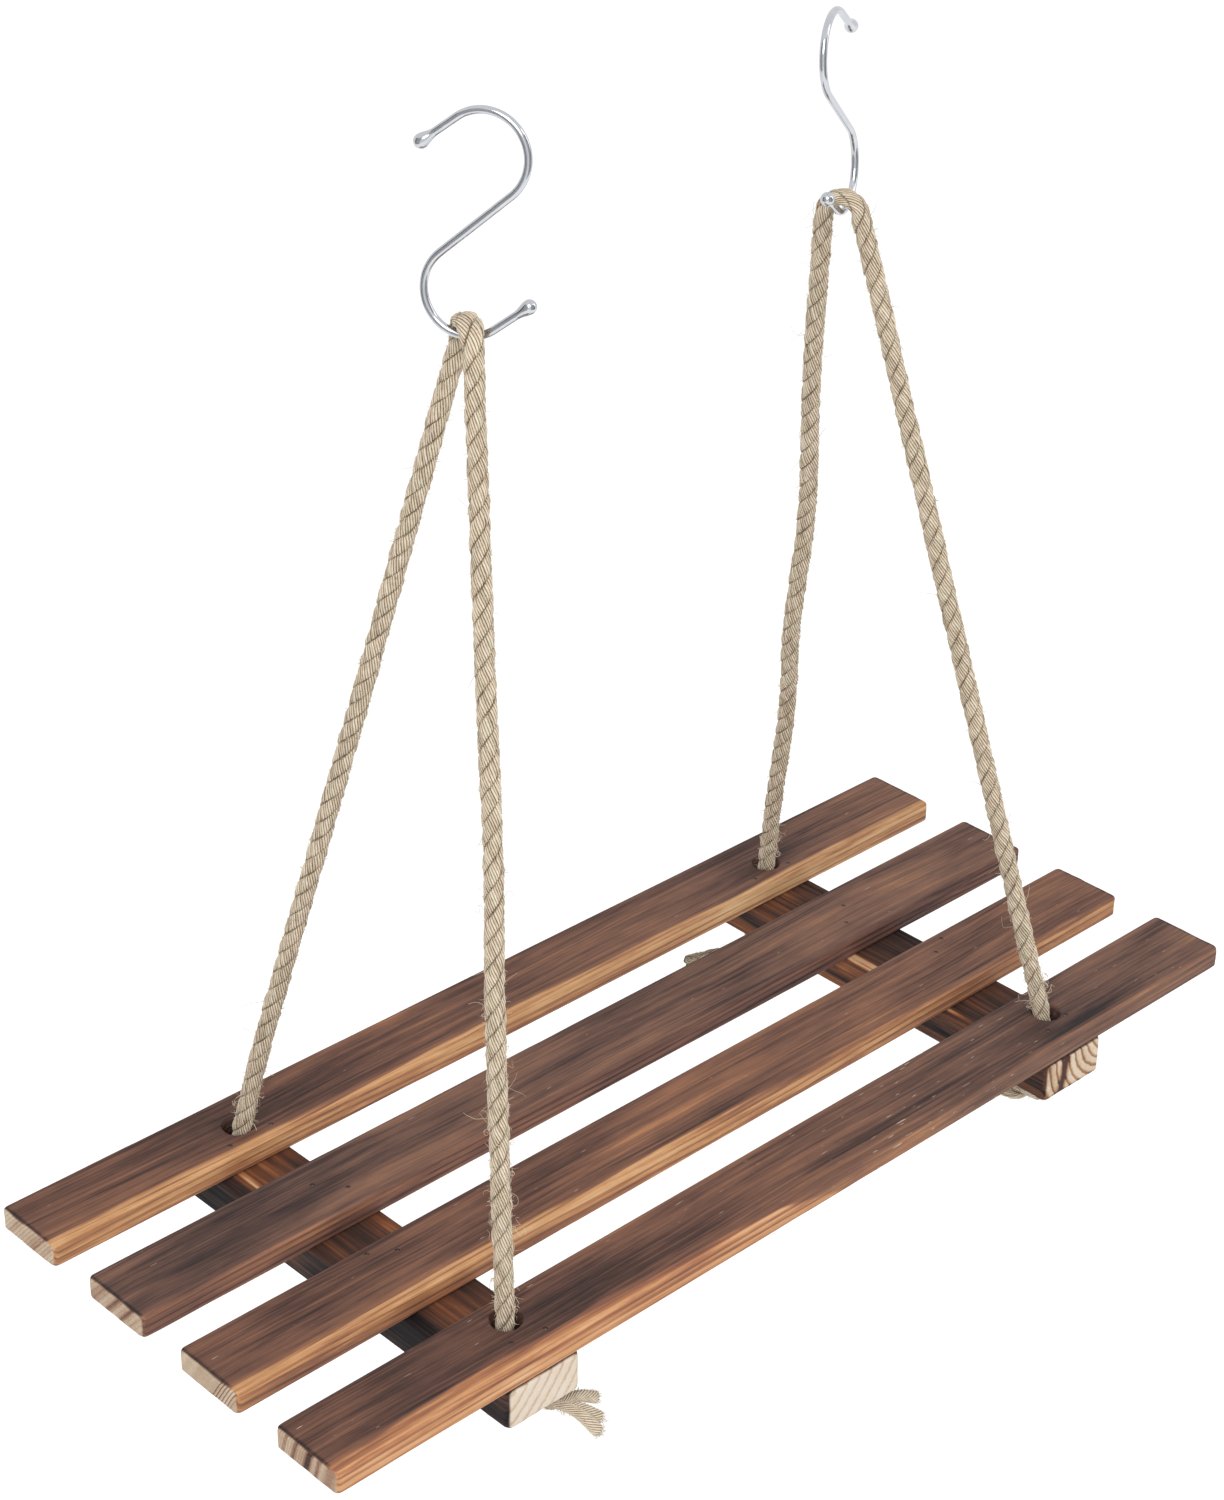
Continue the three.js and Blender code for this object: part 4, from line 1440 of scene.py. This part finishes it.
def add_strands(threads, rope, part, tips):
    """The three strands of a part of a rope, closed round at those of its two ends that are tips."""
    along = rope.along[part]
    line = rope.line[part]
    sides = STRAND_SIDES
    ridge, yarn = yarn_ridges(YARNS, sides)
    half = math.pi / STRANDS - STRAND_SEAM
    drift = (2 * math.pi / LAY_LENGTH + YARN_SLOPE / ROPE_RADIUS) * ARC_SHARE / (2 * half)
    for strand in range(STRANDS):
        seed = rope.seed + strand
        phase = rope.turn[part] + 2 * math.pi * strand / STRANDS
        uneven = 0.03 * noise_along(along, 85, seed + 4)
        share = np.arange(sides)[None, :] / sides - (drift * along + uneven)[:, None]
        local, depth, groove = section_place(share)
        groove = groove * (0.8 + 0.5 * noise_along(along, 130, seed + 6))[:, None]
        places = np.column_stack([
            np.repeat(along * 240, sides),
            np.tile(yarn * 5.3, len(along)),
            np.full(len(along) * sides, seed),
        ])
        stray = noise(places, seed + 8).reshape(share.shape)
        tone = lattice(np.column_stack([yarn, np.full(sides, seed), np.zeros(sides, np.int64)]), 5)[None, :]
        swell = 1 + 0.04 * noise_along(along, 60, seed)
        reach = (rope.radius[part] * swell)[:, None] * (1 - GROOVE_SHARE * groove) * depth
        lift = YARN_RELIEF * (ridge[None, :] * (1 + 0.6 * stray) - 0.8 + 0.5 * stray)
        offsets = rope.around(phase[:, None] + local, part) * (reach + lift * (depth > 0.5))[..., None]
        heart = rope.around(phase[:, None], part) * (HEART_SHARE * rope.radius[part])[:, None, None]
        close = np.ones(len(line))
        for at_tip, distance in zip(tips, (along - along[0], along[-1] - along)):
            if at_tip:
                close *= np.sqrt(1 - (1 - np.clip(distance / TIP_ROUND, 0.02, 1)) ** 2)
        offsets = heart + (offsets - heart) * close[:, None, None]
        rings = line[:, None] + rope.squeeze(offsets, part)
        # Painted shade: darker between the yarns and near the grooves, and darkest on the strands' inner
        # walls in the seams. Each yarn's tone and the stray noise are the jute's own.
        height = 0.58 + 0.8 * (ridge - 0.72) + 0.08 * tone + 0.15 * stray - 0.13 * groove ** 2
        threads.add(rings, lay_values(along, 40 * strand + seed, depth), np.where(depth < 0.97, 0, height))


def add_fibre(threads, rng, root, way, length, thickness, curl=0.0):
    """One loose fibre: a thin three-sided tube that bends at random, or curls up into loops."""
    steps = HAIR_STEPS if curl == 0 else CURL_STEPS
    points = [root]
    axis = unit(rng.normal(size=3))
    bend = rng.normal() * 0.3 if curl == 0 else curl
    for _ in range(steps - 1):
        way = unit(way + np.cross(axis, way) * bend + rng.normal(size=3) * 0.13)
        points.append(points[-1] + way * length / (steps - 1))
    line = np.array(points)
    _, normal, binormal = carried_frames(line)
    radius = thickness * np.linspace(1, 0.5, steps)
    angle = np.array([0, 2, 4]) * math.pi / 3
    rings = line[:, None] + ring_ways(normal, binormal, angle) * radius[:, None, None]
    lay = np.broadcast_to(rng.uniform(0, 90, 3), rings.shape)
    threads.add(rings, lay, np.full(rings.shape[:2], rng.uniform(0.4, 0.8)))


def add_fibres(threads, rng, rope, part, side):
    """Short hairs all along the rope, a few long ones, and curls where it goes into the deck."""
    first, last, _ = part.indices(len(rope.line))
    height = rope.line[:, 2]
    for i in range(first, last):
        reach = CURLY_REACH[side]["rear" if i < rope.crown else "front"]
        curly = bell(height[i], 0, reach) if height[i] > CURLY_LOWEST else 0
        for _ in range(rng.poisson(HAIRS_PER_RING + CURLY_HAIRS_PER_RING * curly)):
            angle = rng.uniform(0, 2 * math.pi)
            out = rope.normal[i] * math.cos(angle) + rope.binormal[i] * math.sin(angle)
            aside = np.cross(rope.ways[i], out)
            way = out * rng.uniform(0.1, 0.9) + rope.ways[i] * rng.normal()
            way = unit(way + aside * rng.normal() * 0.7)
            root = rope.line[i] + out * rope.radius[i] * ROOT_SHARE * (1 - 0.2 * rope.pressed[i])
            thickness = rng.uniform(*HAIR_RADII)
            length = rng.uniform(*HAIR_LENGTHS)
            chance = rng.uniform()
            if chance < CURL_CHANCE * curly:
                curl = rng.uniform(*CURL_BENDS)
                add_fibre(threads, rng, root, way, rng.uniform(*CURL_LENGTHS), thickness * 1.25, curl)
            elif chance > 1 - LONG_HAIR_CHANCE:
                add_fibre(threads, rng, root, way, rng.uniform(*LONG_HAIR_LENGTHS), thickness * 1.1)
            else:
                add_fibre(threads, rng, root, way, length, thickness)


def add_splayed_strand(threads, route, number):
    """One strand by itself, a little wider towards its end, with its yarns showing."""
    along = distance_along(route)
    share = along / along[-1]
    _, normal, binormal = carried_frames(route)
    ridge, _ = yarn_ridges(YARNS, STRAND_SIDES)
    turn = np.linspace(0, 2 * math.pi, STRAND_SIDES, endpoint=False) + SPLAY_TWIST * along[:, None]
    close = np.clip((along[-1] - along) / SPLAY_TIP_ROUND, 0.03, 1)
    flare = STRAND_RADIUS * (0.9 + 0.3 * smoothstep(share, 0.25, 1))
    radius = (flare * np.sqrt(1 - (1 - close) ** 2))[:, None]
    radius = radius + SPLAY_YARN_RELIEF * (ridge - 0.75) * close[:, None]
    rings = route[:, None] + ring_ways(normal, binormal, turn) * radius[..., None]
    # Painted shade between the yarns, and darker over the last tenth of the strand.
    height = 0.6 + 0.9 * (ridge ** 2 - 0.56) - 0.15 * smoothstep(share, 0.9, 1)[:, None]
    threads.add(rings, lay_values(along, 31 * number, np.ones_like(turn)), height)


def splay(threads, rope, rng):
    """The three strands of a rope end that has come apart, each with a brush of fibres."""
    root = rope.line[-1]
    back = root + unit(rope.line[-5] - root) * SPLAY_SINK
    for number, (way, droop) in enumerate(zip(SPLAY_SHARES, SPLAY_DROOP)):
        reach = np.array(way) * SPLAY_LENGTH
        middle = root + 0.5 * reach + [0, 0, droop]
        route = even_points(smooth_curve([back, root, middle, root + reach]), ROPE_STEP)
        add_splayed_strand(threads, route, number)
        _, normal, binormal = carried_frames(route)
        end_way = unit(route[-1] - route[-4])
        for _ in range(SPLAY_END_HAIRS):
            way = unit(end_way + rng.normal(size=3) * 0.6)
            start = route[-1] + rng.normal(size=3) * 0.4 * STRAND_RADIUS - end_way * SPLAY_HAIR_SINK
            add_fibre(threads, rng, start, way, rng.uniform(*SPLAY_END_HAIR_LENGTHS), HAIR_RADII[1])
        for _ in range(SPLAY_SIDE_HAIRS):
            i = rng.integers(4, len(route) - 2)
            angle = rng.uniform(0, 2 * math.pi)
            out = normal[i] * math.cos(angle) + binormal[i] * math.sin(angle)
            way = unit(out + end_way * rng.uniform(0, 2) + rng.normal(size=3) * 0.4)
            start = route[i] + out * 0.9 * STRAND_RADIUS
            add_fibre(threads, rng, start, way, rng.uniform(*SPLAY_SIDE_HAIR_LENGTHS), HAIR_RADII[1])


def add_rope(side, material):
    rng = np.random.default_rng(17 + SIGN[side])
    rope = Rope(side)
    above = np.flatnonzero(rope.line[:, 2] > -SPLIT_DEPTH)
    first, last = above[0], above[-1]
    sling_nodes = [f"rope_saddle_{side}", f"rope_leg_{side}_rear", f"rope_leg_{side}_front"]
    pieces = (
        (slice(0, first), f"rope_end_{side}_rear", [f"rope_foot_{side}_rear"], (True, False)),
        (slice(first, last + 1), f"rope_sling_{side}", sling_nodes, (False, False)),
        (slice(last + 1, None), f"rope_end_{side}_front", [f"rope_foot_{side}_front"], (False, True)),
    )
    for part, name, nodes, tips in pieces:
        threads = Threads()
        add_strands(threads, rope, part, tips)
        add_fibres(threads, rng, rope, part, side)
        if name == "rope_end_left_front":
            splay(threads, rope, rng)
        obj = threads.mesh(name, material)
        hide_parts(*nodes)
        if nodes == sling_nodes:
            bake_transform(obj)
        else:
            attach(obj, "deck")


jute_material = jute_look()
for side in SIDES:
    add_rope(side, jute_material)


# Stage: a pale floor below the hanging object, a white surround and soft lamps

FLOOR_DROP = 0.42
FLOOR_HEIGHT = BAR_BOTTOM - FLOOR_DROP
FLOOR_SIZE = 8.0
FLOOR_GREY = 0.82
FLOOR_GLOW = 0.5
SURROUND_LIGHT = 0.62
CARD_TOP = 1.6
CARD_DISTANCE = 1.7
# Each card's name, the angles it starts and ends at, and its grey
CARDS = (("grey_card", 24, 72, 0.62), ("dark_card", 72, 86, 0.06))

# Each lamp's name, place, size and power
LAMPS = (("key_lamp", (-1.5, -1.2, 1.3), 1.4, 26), ("fill_lamp", (1.2, -1.6, 0.8), 1.6, 12))
LAMP_AIM = (0, 0, -0.3)


def seen_directly(nodes):
    """1 for rays from the camera, mirrors and glass, and 0 for all others."""
    ray = nodes.node("ShaderNodeLightPath").outputs
    seen = nodes.math("MAXIMUM", ray["Is Camera Ray"], ray["Is Glossy Ray"])
    return nodes.math("MAXIMUM", seen, ray["Is Transmission Ray"])


def add_floor():
    """A floor that is clear from below, so that the underside can be seen."""
    look = Look("floor_white")
    look.surface({
        "Base Color": grey(FLOOR_GREY),
        "Roughness": 0.9,
        "Emission Color": grey(1),
        "Emission Strength": look.math("MULTIPLY", seen_directly(look), FLOOR_GLOW),
    })
    from_below = look.node("ShaderNodeNewGeometry").outputs["Backfacing"]
    clear = look.node("ShaderNodeBsdfTransparent").outputs[0]
    one_sided = look.node("ShaderNodeMixShader", {0: from_below, 1: look.shader.outputs[0], 2: clear})
    look.put(look.output, "Surface", one_sided.outputs[0])
    half = FLOOR_SIZE / 2
    corners = ((-half, -half), (half, -half), (half, half), (-half, half))
    corners = np.array([[x, y, FLOOR_HEIGHT] for x, y in corners])
    make_mesh("floor", corners, [[0, 1, 2, 3]], look.material)


def add_world():
    """White all round, and a little darker where it lights the object."""
    world = bpy.data.worlds.new("world")
    bpy.context.scene.world = world
    world.use_nodes = True
    nodes = Nodes(world.node_tree)
    back = nodes.tree.nodes["Background"]
    nodes.put(back, "Color", grey(1))
    nodes.put(back, "Strength", nodes.sum(SURROUND_LIGHT, seen_directly(nodes), 1 - SURROUND_LIGHT))


def add_lamp(name, place, size, power):
    data = bpy.data.lights.new(name, "AREA")
    data.shape = "DISK"
    data.size = size
    data.energy = power
    back = unit(np.subtract(place, LAMP_AIM))
    right = unit(np.cross([0, 0, 1], back))
    add_to_scene(bpy.data.objects.new(name, data), (right, np.cross(back, right), back), place)


def add_card(name, start, end, shade):
    """An upright card beside the camera, from one angle to another, that only mirror rays meet. It gives
    the bright wire its grey and dark lines."""
    look = Look(name)
    look.surface({"Base Color": grey(shade), "Roughness": 1.0})
    corners = []
    for angle, height in ((start, FLOOR_HEIGHT), (end, FLOOR_HEIGHT), (end, CARD_TOP), (start, CARD_TOP)):
        heading = math.radians(CAMERA_AZIMUTH - 90 + angle)
        corners.append([CARD_DISTANCE * math.cos(heading), CARD_DISTANCE * math.sin(heading), height])
    card = make_mesh(name, np.array(corners), [[0, 1, 2, 3]], look.material)
    for ray in ("camera", "diffuse", "transmission", "volume_scatter", "shadow"):
        setattr(card, f"visible_{ray}", False)


add_floor()
add_world()
for side in SIDES:
    for name, start, end, shade in CARDS:
        add_card(f"{name}_{side}", SIGN[side] * start, SIGN[side] * end, shade)
for name, place, size, power in LAMPS:
    add_lamp(name, place, size, power)

bpy.context.scene.view_settings.view_transform = "Standard"
